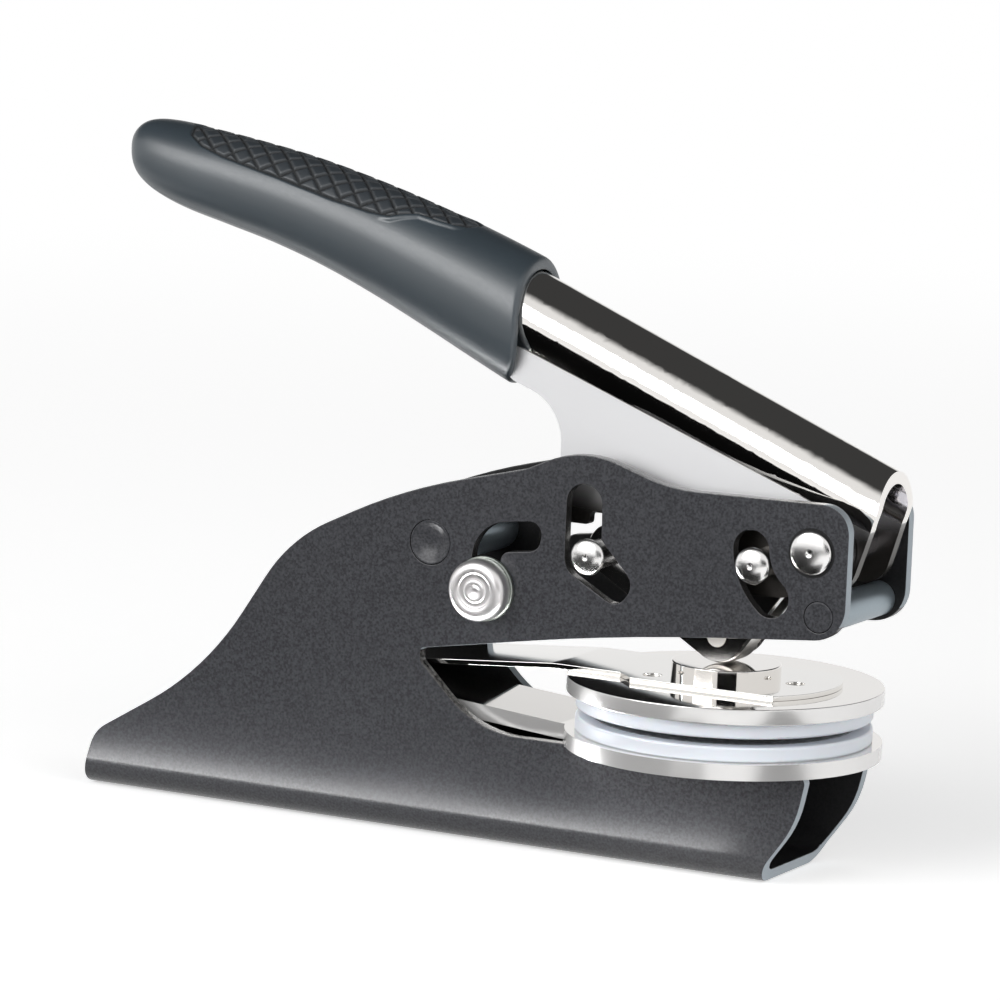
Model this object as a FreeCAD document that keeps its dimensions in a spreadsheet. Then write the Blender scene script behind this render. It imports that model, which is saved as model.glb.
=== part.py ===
"""Desk seal embosser: a folded sheet frame, a die clip, a pressing link and a gripped lever.

Frame of the model, in millimetres: +X points to the die end, +Z is up, and the origin lies on the
surface that the embosser stands on, straight under the centre of the two round dies.
"""
import FreeCAD, Part
import math
import os
from FreeCAD import Placement, Rotation, Vector

doc = FreeCAD.newDocument("SealEmbosser")

# ---------------------------------------------------------------------------------------------
# Driving dimensions: alias, value in millimetres or degrees, what it is
# ---------------------------------------------------------------------------------------------
DRIVING_SIZES = [
    ("sheet_thickness", 2.0, "sheet that the frame is folded from"),
    ("frame_half_width", 12.5, "outside of a frame plate from the middle plane"),
    ("frame_bend_radius", 5.0, "outside radius of the two folds along the base"),
    ("base_front_x", 12.2, "front end of the flat underside"),
    ("base_rear_x", -110.6, "rear end of the flat underside"),
    ("mouth_floor_z", 18.1, "top edge of the base under the lower disc"),
    ("mouth_tip_x", -47.8, "rear tip of the mouth"),
    ("head_front_x", 25.3, "front edge of the head"),
    ("head_bottom_z", 40.0, "lower front corner of the head"),
    ("head_top_z", 60.5, "top edge of the head"),
    ("pivot_x", 19.2, "front pivot pin"),
    ("pivot_z", 53.0, "front pivot pin"),
    ("pivot_pin_radius", 2.5, "shank of the front pivot pin"),
    ("pivot_head_radius", 3.45, "domed head of the front pivot pin"),
    ("link_pin_reach", 10.2, "distance from the front pivot to the link pin"),
    ("link_pin_angle", 17.3, "link pin below the level of the front pivot, in degrees"),
    ("guide_pin_x", -18.8, "guide pin at the rear of the press link"),
    ("guide_pin_z", 48.2, "guide pin at the rear of the press link"),
    ("link_pin_radius", 2.3, "shank of the link pin and of the guide pin"),
    ("link_head_radius", 2.9, "domed heads of the link pin and of the guide pin"),
    ("head_gap", 0.12, "air between a plate and the underside of a moving head"),
    ("head_height", 1.1, "height of a domed pin head"),
    ("slot_half_width", 3.0, "half width of the two link slots"),
    ("front_tie_x", 20.8, "lower front tie between the plates"),
    ("front_tie_z", 43.2, "lower front tie between the plates"),
    ("front_tie_radius", 2.44, "end of the lower front tie"),
    ("rear_tie_x", -46.8, "rear tie between the plates"),
    ("rear_tie_z", 47.4, "rear tie between the plates"),
    ("rear_tie_radius", 3.6, "end of the rear tie"),
    ("tie_shoulder", 0.3, "how much thicker a tie is between the plates"),
    ("lock_x", -36.6, "lock knob in its open place"),
    ("lock_z", 41.2, "lock knob in its open place"),
    ("lock_travel_radius", 7.0, "radius of the path of the lock knob"),
    ("lock_start_angle", 199.2, "open place on that path, in degrees from +X"),
    ("lock_travel", 118, "turn of the knob along that path to its locked place, in degrees"),
    ("lock_shaft_radius", 1.6, "lock shaft where it crosses the plates"),
    ("knob_radius", 4.93, "lock knob"),
    ("knob_height", 3.3, "lock knob"),
    ("lock_washer_radius", 5.15, "washer under a lock knob"),
    ("lock_washer_height", 0.6, "washer under a lock knob"),
    ("disc_radius", 25.0, "the two round carrier discs of the die clip"),
    ("disc_thickness", 2.5, "carrier discs and lower arm"),
    ("ring_radius", 23.4, "plastic rings round the dies"),
    ("die_radius", 20.5, "embossing dies"),
    ("die_fit", 0.1, "radial clearance of a die in its ring"),
    ("lower_ring_height", 2.35, "lower plastic ring"),
    ("upper_ring_height", 2.45, "upper plastic ring"),
    ("die_gap", 1.3, "paper gap between the rings when nothing is pressed"),
    ("spring_thickness", 0.8, "spring strip of the upper arm"),
    ("arm_half_width", 9.0, "both arms of the die clip"),
    ("pad_half_width", 12.2, "wide front end of the spring strip"),
    ("pad_front_radius", 18.4, "rounded front end of the spring strip"),
    ("pad_shoulder_x", -10.8, "where the wide end narrows to the strip, at 45 degrees"),
    ("arm_bend_x", -24.0, "where the two arms leave the level of their discs"),
    ("arm_root_x", -69.0, "where the two arms run side by side again"),
    ("arm_end_x", -79.0, "rear end of the two arms"),
    ("lower_arm_rise", 3.93, "rise of the lower arm from its disc to its root"),
    ("root_spacer", 0.77, "spacer between the arms at their root"),
    ("root_play", 0.2, "play of the spring strip at its root"),
    ("root_rivet_x", -74.0, "two rivets through the root of the clip"),
    ("root_rivet_y", 4.5, "two rivets through the root of the clip"),
    ("root_rivet_radius", 1.6, "two rivets through the root of the clip"),
    ("button_radius", 8.65, "pressure button on the upper arm"),
    ("button_height", 2.1, "pressure button on the upper arm"),
    ("nose_radius", 4.4, "round underside of the pressing nose"),
    ("nose_gap", 0.1, "air between the nose and the button at rest"),
    ("cheek_nose_radius", 4.8, "round lower end of a link plate, beside the nose"),
    ("cheek_lift", 0.5, "how far that end stays above the underside of the nose"),
    ("cheek_inside", 2.6, "inner face of a link plate from the middle plane"),
    ("cheek_thickness", 1.6, "link plates"),
    ("guide_eye_wall", 1.9, "sheet round the guide pin's hole in a link plate"),
    ("link_eye_wall", 2.2, "sheet round the link pin's hole in a link plate"),
    ("lever_wall", 1.8, "sheet that the lever is folded from"),
    ("lever_slope", 22.1, "slope of the lever at rest, in degrees"),
    ("lever_nose_x", 27.0, "front end of the lever on its crown line"),
    ("lever_nose_z", 65.2, "front end of the lever on its crown line"),
    ("crown_radius", 7.1, "round crown of the lever"),
    ("rear_pinch_depth", 11.3, "crown line to the crease of the lever, at the grip"),
    ("front_pinch_depth", 8.3, "crown line to the crease of the lever, at its front end"),
    ("web_flare", 1.2, "how far the webs spread below the crease at the front"),
    ("bush_radius", 3.3, "bush that the lever turns on"),
    ("running_clearance", 0.05, "radial clearance of a pin in a turning hole"),
    ("side_play", 0.2, "side play between the lever's bush and the plates"),
    ("spacer_radius", 5.2, "two washers beside the lever on its bush"),
    ("grip_half_width", 8.7, "grip at its front rim"),
    ("grip_rim_x", -35.2, "front rim of the grip"),
    ("grip_tail_x", -110.4, "rear end of the grip"),
    ("tang_wall_inset", 2.6, "grip surface to the tang of the lever inside it"),
]

sheet = doc.addObject("Spreadsheet::Sheet", "Sizes")
for row, (alias, value, meaning) in enumerate(DRIVING_SIZES, start=1):
    sheet.set("A%d" % row, alias)
    sheet.set("B%d" % row, str(value))
    sheet.set("C%d" % row, meaning)
    sheet.setAlias("B%d" % row, alias)
doc.recompute()


def size(alias):
    """The value of one driving dimension, read from the sheet."""
    return float(getattr(sheet, alias))


def bind(item, **expressions):
    """Bind properties of a document object to expressions over the sheet's aliases."""
    for prop, expression in expressions.items():
        item.setExpression(prop.replace("__", "."), expression)


# ---------------------------------------------------------------------------------------------
# Places and sizes that follow from the driving ones
# ---------------------------------------------------------------------------------------------
T = size("sheet_thickness")
PLATE_OUT = size("frame_half_width")
PLATE_IN = PLATE_OUT - T
PIVOT = Vector(size("pivot_x"), 0, size("pivot_z"))
LINK_PIN_ANGLE = math.radians(180 + size("link_pin_angle"))
LINK_PIN = PIVOT + size("link_pin_reach") * Vector(math.cos(LINK_PIN_ANGLE), 0, math.sin(LINK_PIN_ANGLE))
GUIDE_PIN = Vector(size("guide_pin_x"), 0, size("guide_pin_z"))
FRONT_TIE = Vector(size("front_tie_x"), 0, size("front_tie_z"))
REAR_TIE = Vector(size("rear_tie_x"), 0, size("rear_tie_z"))
LOCK = Vector(size("lock_x"), 0, size("lock_z"))
LOCK_ANGLE = math.radians(size("lock_start_angle"))
LOCK_CENTRE = LOCK - size("lock_travel_radius") * Vector(math.cos(LOCK_ANGLE), 0, math.sin(LOCK_ANGLE))
LOCKED_ANGLE = math.radians(size("lock_start_angle") - size("lock_travel"))
LOCKED = LOCK_CENTRE + size("lock_travel_radius") * Vector(math.cos(LOCKED_ANGLE), 0, math.sin(LOCKED_ANGLE))

LOWER_DISC_TOP = size("mouth_floor_z") + size("disc_thickness")
LOWER_RING_TOP = LOWER_DISC_TOP + size("lower_ring_height")
UPPER_RING_BOTTOM = LOWER_RING_TOP + size("die_gap")
UPPER_DISC_BOTTOM = UPPER_RING_BOTTOM + size("upper_ring_height")
UPPER_DISC_TOP = UPPER_DISC_BOTTOM + size("disc_thickness")
PAD_TOP = UPPER_DISC_TOP + size("spring_thickness")
BUTTON_TOP = PAD_TOP + size("button_height")
NOSE_BOTTOM = BUTTON_TOP + size("nose_gap")
NOSE = Vector(0, 0, NOSE_BOTTOM + size("nose_radius"))
CHEEK_NOSE = Vector(0, 0, NOSE_BOTTOM + size("cheek_lift") + size("cheek_nose_radius"))

LOWER_ROOT_TOP = LOWER_DISC_TOP + size("lower_arm_rise")
LOWER_ROOT_BOTTOM = LOWER_ROOT_TOP - size("disc_thickness")
SPACER_TOP = LOWER_ROOT_TOP + size("root_spacer")
STRIP_ROOT_BOTTOM = SPACER_TOP + size("root_play")
STRIP_ROOT_TOP = STRIP_ROOT_BOTTOM + size("spring_thickness")

SLOPE = math.radians(size("lever_slope"))
ALONG_LEVER = Vector(-math.cos(SLOPE), 0, math.sin(SLOPE))
ACROSS_LEVER = Vector(math.sin(SLOPE), 0, math.cos(SLOPE))
LEVER_NOSE = Vector(size("lever_nose_x"), 0, size("lever_nose_z"))
MOVING_HEAD_Y = PLATE_OUT + size("head_gap")


def on_crown(x):
    """The point of the lever's crown line that has this x."""
    return LEVER_NOSE + ALONG_LEVER * ((LEVER_NOSE.x - x) / math.cos(SLOPE))


# ---------------------------------------------------------------------------------------------
# Helpers for sketches and bodies
# ---------------------------------------------------------------------------------------------
def rounded_outline(corners):
    """Edges of a closed outline: corners are (x, y, radius), and each is rounded by its radius."""
    count = len(corners)
    entries = []
    for index, (x, y, radius) in enumerate(corners):
        here = Vector(x, y, 0)
        before = Vector(*corners[index - 1][:2], 0) - here
        after = Vector(*corners[(index + 1) % count][:2], 0) - here
        half_turn = before.getAngle(after) / 2
        before.normalize()
        after.normalize()
        if radius <= 0:
            entries.append((here, None, here))
            continue
        reach = radius / math.tan(half_turn)
        inward = before + after
        inward.normalize()
        middle = here + inward * (radius / math.sin(half_turn) - radius)
        entries.append((here + before * reach, middle, here + after * reach))
    edges = []
    for index, (start, middle, end) in enumerate(entries):
        if middle is not None:
            edges.append(Part.Arc(start, middle, end))
        following = entries[(index + 1) % count][0]
        if (following - end).Length > 1e-6:
            edges.append(Part.LineSegment(end, following))
    return edges


def circle(x, y, radius):
    """Edges of a full circle."""
    return [Part.Circle(Vector(x, y, 0), Vector(0, 0, 1), radius)]


def arc_slot(centre_x, centre_y, radius, half_width, first, last):
    """Edges of a slot that bends round a centre, from one angle to another, in degrees."""
    def at(reach, angle):
        turn = math.radians(angle)
        return Vector(centre_x + reach * math.cos(turn), centre_y + reach * math.sin(turn), 0)

    past = math.degrees(half_width / radius)
    middle = (first + last) / 2
    outer, inner = radius + half_width, radius - half_width
    return [
        Part.Arc(at(outer, first), at(outer, middle), at(outer, last)),
        Part.Arc(at(outer, last), at(radius, last + past), at(inner, last)),
        Part.Arc(at(inner, last), at(inner, middle), at(inner, first)),
        Part.Arc(at(inner, first), at(radius, first - past), at(outer, first)),
    ]


def new_body(label):
    """A PartDesign body whose label names its file."""
    body = doc.addObject("PartDesign::Body", label)
    body.Label = label
    return body


def add_sketch(body, role, name, *loops):
    """A sketch on one of the body's own origin planes, holding closed loops of edges."""
    sketch = body.newObject("Sketcher::SketchObject", name)
    plane = [item for item in body.Origin.OriginFeatures if item.Role == role][0]
    sketch.AttachmentSupport = [(plane, "")]
    sketch.MapMode = "FlatFace"
    for loop in loops:
        for edge in loop:
            sketch.addGeometry(edge, False)
    return sketch


def add_pad(body, sketch, name, length, middle=False):
    """A pad whose length is an expression over the sheet's aliases."""
    pad = body.newObject("PartDesign::Pad", name)
    pad.Profile = sketch
    pad.Midplane = middle
    bind(pad, Length=length)
    return pad


def add_pocket(body, sketch, name):
    """A pocket right through the body, both ways from its sketch."""
    pocket = body.newObject("PartDesign::Pocket", name)
    pocket.Profile = sketch
    pocket.Type = "ThroughAll"
    pocket.Midplane = True
    return pocket


def turned_crosswise(label, place_x, place_z, corners):
    """A body of revolution round a line along Y: corners are (radius, y, rounding)."""
    body = new_body(label)
    sketch = add_sketch(body, "XY_Plane", label + "_profile", rounded_outline(corners))
    turn = body.newObject("PartDesign::Revolution", label + "_turn")
    turn.Profile = sketch
    turn.ReferenceAxis = (sketch, ["V_Axis"])
    turn.Angle = 360
    bind(body, Placement__Base__x=place_x, Placement__Base__z=place_z)
    return body


def turned_upright(label, corners):
    """A body of revolution round the vertical line through the origin: corners are (radius, z, rounding)."""
    body = new_body(label)
    sketch = add_sketch(body, "XZ_Plane", label + "_profile", rounded_outline(corners))
    turn = body.newObject("PartDesign::Revolution", label + "_turn")
    turn.Profile = sketch
    turn.ReferenceAxis = (sketch, ["V_Axis"])
    turn.Angle = 360
    return body


def headed_pin(label, place_x, place_z, radius, head_radius, head_from):
    """A pin with a domed head beyond each plate, as riveted over at both ends."""
    head_to = head_from + size("head_height")
    dome = size("head_height") * 0.85
    half = [
        (radius, head_from, 0), (head_radius, head_from, 0), (head_radius, head_to, dome), (0, head_to, 0)]
    mirrored = [(r, -y, rounding) for r, y, rounding in reversed(half)]
    return turned_crosswise(label, place_x, place_z, mirrored + half)


def rod(name, radius, length, place, along_y=True):
    """A plain cylinder centred on a place, along Y or along Z."""
    item = doc.addObject("Part::Cylinder", name)
    item.Radius = radius
    item.Height = length
    if along_y:
        item.Placement = Placement(place + Vector(0, length / 2, 0), Rotation(Vector(1, 0, 0), 90))
    else:
        item.Placement = Placement(place - Vector(0, 0, length / 2), Rotation())
    return item


def cut_from(label, base, *tools):
    """The base with the tools cut out of it, under the node's label."""
    tool = tools[0]
    if len(tools) > 1:
        tool = doc.addObject("Part::MultiFuse", label + "_tools")
        tool.Shapes = list(tools)
    result = doc.addObject("Part::Cut", label)
    result.Label = label
    result.Base = base
    result.Tool = tool
    return result


def group_of(label, *items):
    """Several equal pieces that share one node as separate solids."""
    result = doc.addObject("Part::Compound", label)
    result.Label = label
    result.Links = list(items)
    return result


# ---------------------------------------------------------------------------------------------
# Frame: one sheet folded to a U, cut to the side outline, with holes and slots
# ---------------------------------------------------------------------------------------------
def frame_outline():
    """Side view of a frame plate, from the rear end of the underside over the back to the front."""
    floor = size("mouth_floor_z")
    tip = size("mouth_tip_x")
    front = size("head_front_x")
    bottom = size("head_bottom_z")
    top = size("head_top_z")
    base_front = size("base_front_x")
    base_rear = size("base_rear_x")
    return rounded_outline([
        (base_rear, 0, 0),
        (base_rear + 2.8, 9.4, 6),
        (base_rear + 23.4, 22.0, 53),
        (base_rear + 38.3, 45.2, 28),
        (base_rear + 58.8, 55.4, 95),
        (-30.4, 60.8, 12),
        (-20.6, 65.3, 17),
        (-5.2, top - 0.2, 28),
        (front, top + 0.2, 4.5),
        (front, bottom, 5.5),
        (-13.0, bottom - 3.6, 400),
        (tip, 30.3, 0.8),
        (tip, 28.3, 1.0),
        (tip + 10.6, floor, 18),
        (base_front + 8.0, floor, 1.2),
        (base_front + 6.4, 10.2, 17),
        (base_front + 1.4, 3.2, 9),
        (base_front, 0, 0),
    ])


def lock_slot():
    """Hooked slot for the lock knob, round the knob's path."""
    left = LOCK.x - 2.6
    return rounded_outline([
        (left, LOCK.z - 2.4, 2.3),
        (left - 0.1, LOCK.z + 10.2, 6.5),
        (LOCK.x + 9.9, LOCK.z + 11.7, 2.0),
        (LOCK.x + 9.0, LOCK.z + 6.9, 2.0),
        (LOCK.x + 2.4, LOCK.z + 6.0, 1.6),
        (LOCK.x + 2.4, LOCK.z - 2.4, 2.3),
    ])


def guide_slot():
    """Bent slot of the guide pin: upright above, slanting forward below."""
    half = size("slot_half_width")
    top = GUIDE_PIN.z + 11.3
    left = GUIDE_PIN.x - 1.1 - half
    right = left + 2 * half
    return rounded_outline([
        (left, GUIDE_PIN.z - 2.4, 3.4),
        (left, top, half - 0.05),
        (right, top, half - 0.05),
        (right + 0.2, GUIDE_PIN.z + 2.8, 1.0),
        (GUIDE_PIN.x + 8.2, GUIDE_PIN.z - 3.6, 2.6),
        (GUIDE_PIN.x + 5.3, GUIDE_PIN.z - 7.6, 2.4),
    ])


def make_frame():
    """The folded frame: the U section first, then all that lies outside the outline goes."""
    body = new_body("frame")
    bend = size("frame_bend_radius")
    height = size("head_top_z") + 20
    section = add_sketch(body, "YZ_Plane", "frame_section", rounded_outline([
        (-PLATE_OUT, height, 0),
        (-PLATE_OUT, 0, bend),
        (PLATE_OUT, 0, bend),
        (PLATE_OUT, height, 0),
        (PLATE_IN, height, 0),
        (PLATE_IN, T, bend - T),
        (-PLATE_IN, T, bend - T),
        (-PLATE_IN, height, 0),
    ]))
    add_pad(body, section, "frame_fold", "2 * (10 - Sizes.base_rear_x)", middle=True)
    reach = 20 - size("base_rear_x")
    around = rounded_outline([
        (-reach, -5, 0), (-reach, height + 5, 0), (reach, height + 5, 0), (reach, -5, 0)])
    add_pocket(body, add_sketch(body, "XZ_Plane", "frame_side", around, frame_outline()), "frame_trim")
    holes = add_sketch(
        body, "XZ_Plane", "frame_holes",
        circle(PIVOT.x, PIVOT.z, size("pivot_pin_radius")),
        circle(FRONT_TIE.x, FRONT_TIE.z, size("front_tie_radius")),
        circle(REAR_TIE.x, REAR_TIE.z, size("rear_tie_radius")),
        arc_slot(PIVOT.x, PIVOT.z, size("link_pin_reach"), size("slot_half_width"), 183, 230),
        guide_slot(),
        lock_slot(),
    )
    add_pocket(body, holes, "frame_piercing")
    return body


def make_tie(label, place_x, place_z, radius):
    """A tie that keeps the plates apart: thick between them, its ends flush with the paint."""
    thick = radius + size("tie_shoulder")
    inside, outside = PLATE_IN, PLATE_OUT
    return turned_crosswise(label, place_x, place_z, [
        (0, -outside, 0), (radius, -outside, 0.2), (radius, -inside, 0), (thick, -inside, 0),
        (thick, inside, 0), (radius, inside, 0), (radius, outside, 0.2), (0, outside, 0),
    ])


# ---------------------------------------------------------------------------------------------
# Die clip: lower arm with its disc, spring strip with its disc, rings, dies and button
# ---------------------------------------------------------------------------------------------
ARM_UNDER_DISC = 4
STRIP_BEHIND_DISC = 0.9
STRIP_INTO_PAD = 1.0


def arm_profile(bend, bottom, root_bottom, thickness, bend_radius):
    """Side view of an arm: level at its disc, sloping, and level again at its root."""
    root, end = size("arm_root_x"), size("arm_end_x")
    front = bend + ARM_UNDER_DISC
    return rounded_outline([
        (front, bottom, 0),
        (bend, bottom, bend_radius),
        (root, root_bottom, bend_radius),
        (end, root_bottom, 0),
        (end, root_bottom + thickness, 0),
        (root, root_bottom + thickness, bend_radius),
        (bend, bottom + thickness, bend_radius),
        (front, bottom + thickness, 0),
    ])


def make_lower_arm():
    """Lower disc and lower arm, one thick plate that lies on the frame's edges."""
    body = new_body("lower_die_arm")
    disc = add_sketch(body, "XY_Plane", "lower_disc_circle", circle(0, 0, size("disc_radius")))
    disc.AttachmentOffset = Placement(Vector(0, 0, size("mouth_floor_z")), Rotation())
    add_pad(body, disc, "lower_disc", "Sizes.disc_thickness")
    profile = arm_profile(
        size("arm_bend_x"), size("mouth_floor_z"), LOWER_ROOT_BOTTOM, size("disc_thickness"), 8)
    arm = add_sketch(body, "XZ_Plane", "lower_arm_side", profile)
    add_pad(body, arm, "lower_arm", "2 * Sizes.arm_half_width", middle=True)
    holes = add_sketch(body, "XY_Plane", "lower_arm_holes", *[
        circle(size("root_rivet_x"), side * size("root_rivet_y"), size("root_rivet_radius"))
        for side in (-1, 1)])
    add_pocket(body, holes, "lower_arm_piercing")
    return body


def rivet_places():
    """Three rivets that hold the upper disc to the spring strip, as (x, y)."""
    reach = size("button_radius") + 3.3
    return [(reach * math.cos(math.radians(a)), reach * math.sin(math.radians(a))) for a in (0, 139, 221)]


DISC_RIVET_RADIUS = 1.5


def make_spring_arm():
    """Spring strip of the upper arm: wide rounded pad in front, narrow strip behind."""
    body = new_body("upper_spring_arm")
    wide, narrow = size("pad_half_width"), size("arm_half_width")
    strip_bend = -size("disc_radius") - STRIP_BEHIND_DISC
    front = size("pad_front_radius")
    shoulder = size("pad_shoulder_x")
    neck = shoulder - (wide - narrow)
    rear = strip_bend + STRIP_INTO_PAD
    corner = math.sqrt(front ** 2 - wide ** 2)
    plan = [
        Part.LineSegment(Vector(rear, narrow, 0), Vector(neck, narrow, 0)),
        Part.LineSegment(Vector(neck, narrow, 0), Vector(shoulder, wide, 0)),
        Part.LineSegment(Vector(shoulder, wide, 0), Vector(corner, wide, 0)),
        Part.Arc(Vector(corner, wide, 0), Vector(front, 0, 0), Vector(corner, -wide, 0)),
        Part.LineSegment(Vector(corner, -wide, 0), Vector(shoulder, -wide, 0)),
        Part.LineSegment(Vector(shoulder, -wide, 0), Vector(neck, -narrow, 0)),
        Part.LineSegment(Vector(neck, -narrow, 0), Vector(rear, -narrow, 0)),
        Part.LineSegment(Vector(rear, -narrow, 0), Vector(rear, narrow, 0)),
    ]
    pad_plan = add_sketch(body, "XY_Plane", "spring_pad_plan", plan)
    pad_plan.AttachmentOffset = Placement(Vector(0, 0, UPPER_DISC_TOP), Rotation())
    add_pad(body, pad_plan, "spring_pad", "Sizes.spring_thickness")
    profile = arm_profile(strip_bend, UPPER_DISC_TOP, STRIP_ROOT_BOTTOM, size("spring_thickness"), 12)
    strip = add_sketch(body, "XZ_Plane", "spring_strip_side", profile)
    add_pad(body, strip, "spring_strip", "2 * Sizes.arm_half_width", middle=True)
    loose = size("root_rivet_radius") + size("root_play") * 2
    loops = [circle(size("root_rivet_x"), side * size("root_rivet_y"), loose) for side in (-1, 1)]
    loops += [circle(x, y, DISC_RIVET_RADIUS) for x, y in rivet_places()]
    add_pocket(body, add_sketch(body, "XY_Plane", "spring_arm_holes", *loops), "spring_arm_piercing")
    return body


def make_upper_disc():
    """Upper carrier disc with its three rivet holes."""
    body = new_body("upper_disc")
    disc = add_sketch(body, "XY_Plane", "upper_disc_circle", circle(0, 0, size("disc_radius")))
    disc.AttachmentOffset = Placement(Vector(0, 0, UPPER_DISC_BOTTOM), Rotation())
    add_pad(body, disc, "upper_disc_pad", "Sizes.disc_thickness")
    loops = [circle(x, y, DISC_RIVET_RADIUS) for x, y in rivet_places()]
    add_pocket(body, add_sketch(body, "XY_Plane", "upper_disc_holes", *loops), "upper_disc_piercing")
    return body


def make_disc_rivets():
    """Three rivets, sunk a little below the strip's upper face."""
    sunk = 0.3
    length = PAD_TOP - sunk - UPPER_DISC_BOTTOM
    middle = UPPER_DISC_BOTTOM + length / 2
    rods = [rod("disc_rivet_%d" % index, DISC_RIVET_RADIUS, length, Vector(x, y, middle), along_y=False)
            for index, (x, y) in enumerate(rivet_places())]
    return group_of("disc_rivets", *rods)


def make_ring(label, bottom, top):
    """A plastic ring round a die, its rim slightly rounded."""
    inside, outside = size("die_radius") + size("die_fit"), size("ring_radius")
    return turned_upright(label, [
        (inside, bottom, 0), (outside, bottom, 0.4), (outside, top, 0.4), (inside, top, 0.2)])


def make_die(label, bottom, top):
    """A die: a plain round block."""
    radius = size("die_radius")
    return turned_upright(label, [(0, bottom, 0), (radius, bottom, 0), (radius, top, 0), (0, top, 0)])


def make_button():
    """Pressure button on top of the spring strip."""
    radius = size("button_radius")
    return turned_upright("pressure_button", [
        (0, PAD_TOP, 0), (radius, PAD_TOP, 0), (radius, BUTTON_TOP, 0.3), (0, BUTTON_TOP, 0)])


def make_root_spacer():
    """Flat spacer between the two arms at their root."""
    body = new_body("clip_spacer")
    root, end, half = size("arm_root_x") - HOLDER_BEHIND_BEND, size("arm_end_x"), size("arm_half_width") - 1
    plan = add_sketch(
        body, "XY_Plane", "clip_spacer_plan",
        rounded_outline([(root, -half, 1), (root, half, 1), (end, half, 1), (end, -half, 1)]),
        *[circle(size("root_rivet_x"), side * size("root_rivet_y"), size("root_rivet_radius"))
          for side in (-1, 1)])
    plan.AttachmentOffset = Placement(Vector(0, 0, LOWER_ROOT_TOP), Rotation())
    add_pad(body, plan, "clip_spacer_pad", "Sizes.root_spacer")
    return body


RIVET_HEAD_HEIGHT = 1.0


def make_root_rivets():
    """Two rivets that join the arms at the root, with flat heads above the strip."""
    radius = size("root_rivet_radius")
    head = radius + 1.2
    under_head = STRIP_ROOT_TOP + size("root_play")
    rivets = []
    for side in (-1, 1):
        name = "clip_rivet_%s" % ("near" if side < 0 else "far")
        rivet = turned_upright(name, [
            (0, LOWER_ROOT_BOTTOM, 0), (radius, LOWER_ROOT_BOTTOM, 0),
            (radius, under_head, 0), (head, under_head, 0),
            (head, under_head + RIVET_HEAD_HEIGHT, 0.6), (0, under_head + RIVET_HEAD_HEIGHT, 0)])
        bind(rivet, Placement__Base__x="Sizes.root_rivet_x",
             Placement__Base__y="%d * Sizes.root_rivet_y" % side)
        rivets.append(rivet)
    return group_of("clip_rivets", *rivets)


HOLDER_BEHIND_BEND = 0.5
HOLDER_BACK = 2.5
HOLDER_PLAY = 0.3


def make_clip_holder():
    """Moulded block between the plates that takes the root of the clip in a pocket open to the front."""
    body = new_body("clip_holder")
    half = PLATE_IN - 0.05
    top = STRIP_ROOT_TOP + size("root_play") + RIVET_HEAD_HEIGHT + 2.0
    bend = size("frame_bend_radius") - T
    front, rear = size("arm_root_x") - HOLDER_BEHIND_BEND, size("arm_end_x") - HOLDER_BACK
    section = add_sketch(body, "YZ_Plane", "holder_section", rounded_outline([
        (-half, T, bend + 0.4), (half, T, bend + 0.4), (half, top, 0.5), (-half, top, 0.5)]))
    section.AttachmentOffset = Placement(Vector(0, 0, rear), Rotation())
    depth = "Sizes.arm_root_x - Sizes.arm_end_x - %r" % HOLDER_BEHIND_BEND
    add_pad(body, section, "holder_block", "%s + %r" % (depth, HOLDER_BACK))
    pocket_top = top - 1.5
    pocket_half = size("arm_half_width") + 0.2
    plan = add_sketch(body, "YZ_Plane", "holder_pocket_section", rounded_outline([
        (-pocket_half, LOWER_ROOT_BOTTOM, 0), (pocket_half, LOWER_ROOT_BOTTOM, 0),
        (pocket_half, pocket_top, 0), (-pocket_half, pocket_top, 0)]))
    plan.AttachmentOffset = Placement(Vector(0, 0, front), Rotation())
    pocket = body.newObject("PartDesign::Pocket", "holder_pocket")
    pocket.Profile = plan
    bind(pocket, Length="%s + %r" % (depth, HOLDER_PLAY))
    return body


# ---------------------------------------------------------------------------------------------
# Press link: two cheeks on the link pin, the guide pin behind and the nose between them
# ---------------------------------------------------------------------------------------------
def hull_outline(discs):
    """Edges of the taut outline round discs given as (centre, radius), in anticlockwise order."""
    count = len(discs)
    touches = []
    for index in range(count):
        (one, radius_one), (two, radius_two) = discs[index], discs[(index + 1) % count]
        gap = two - one
        heading = math.atan2(gap.z, gap.x)
        lean = math.acos((radius_one - radius_two) / gap.Length)
        normal = heading - lean
        out = Vector(math.cos(normal), 0, math.sin(normal))
        touches.append((one + out * radius_one, two + out * radius_two, normal))
    edges = []
    for index in range(count):
        start, end, normal = touches[index]
        edges.append(Part.LineSegment(Vector(start.x, start.z, 0), Vector(end.x, end.z, 0)))
        centre, radius = discs[(index + 1) % count]
        turn = (touches[(index + 1) % count][2] - normal) % (2 * math.pi)
        middle = centre + radius * Vector(math.cos(normal + turn / 2), 0, math.sin(normal + turn / 2))
        last = touches[(index + 1) % count][0]
        edges.append(Part.Arc(
            Vector(end.x, end.z, 0), Vector(middle.x, middle.z, 0), Vector(last.x, last.z, 0)))
    return edges


NOSE_PIN_RADIUS = 1.6


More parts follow.
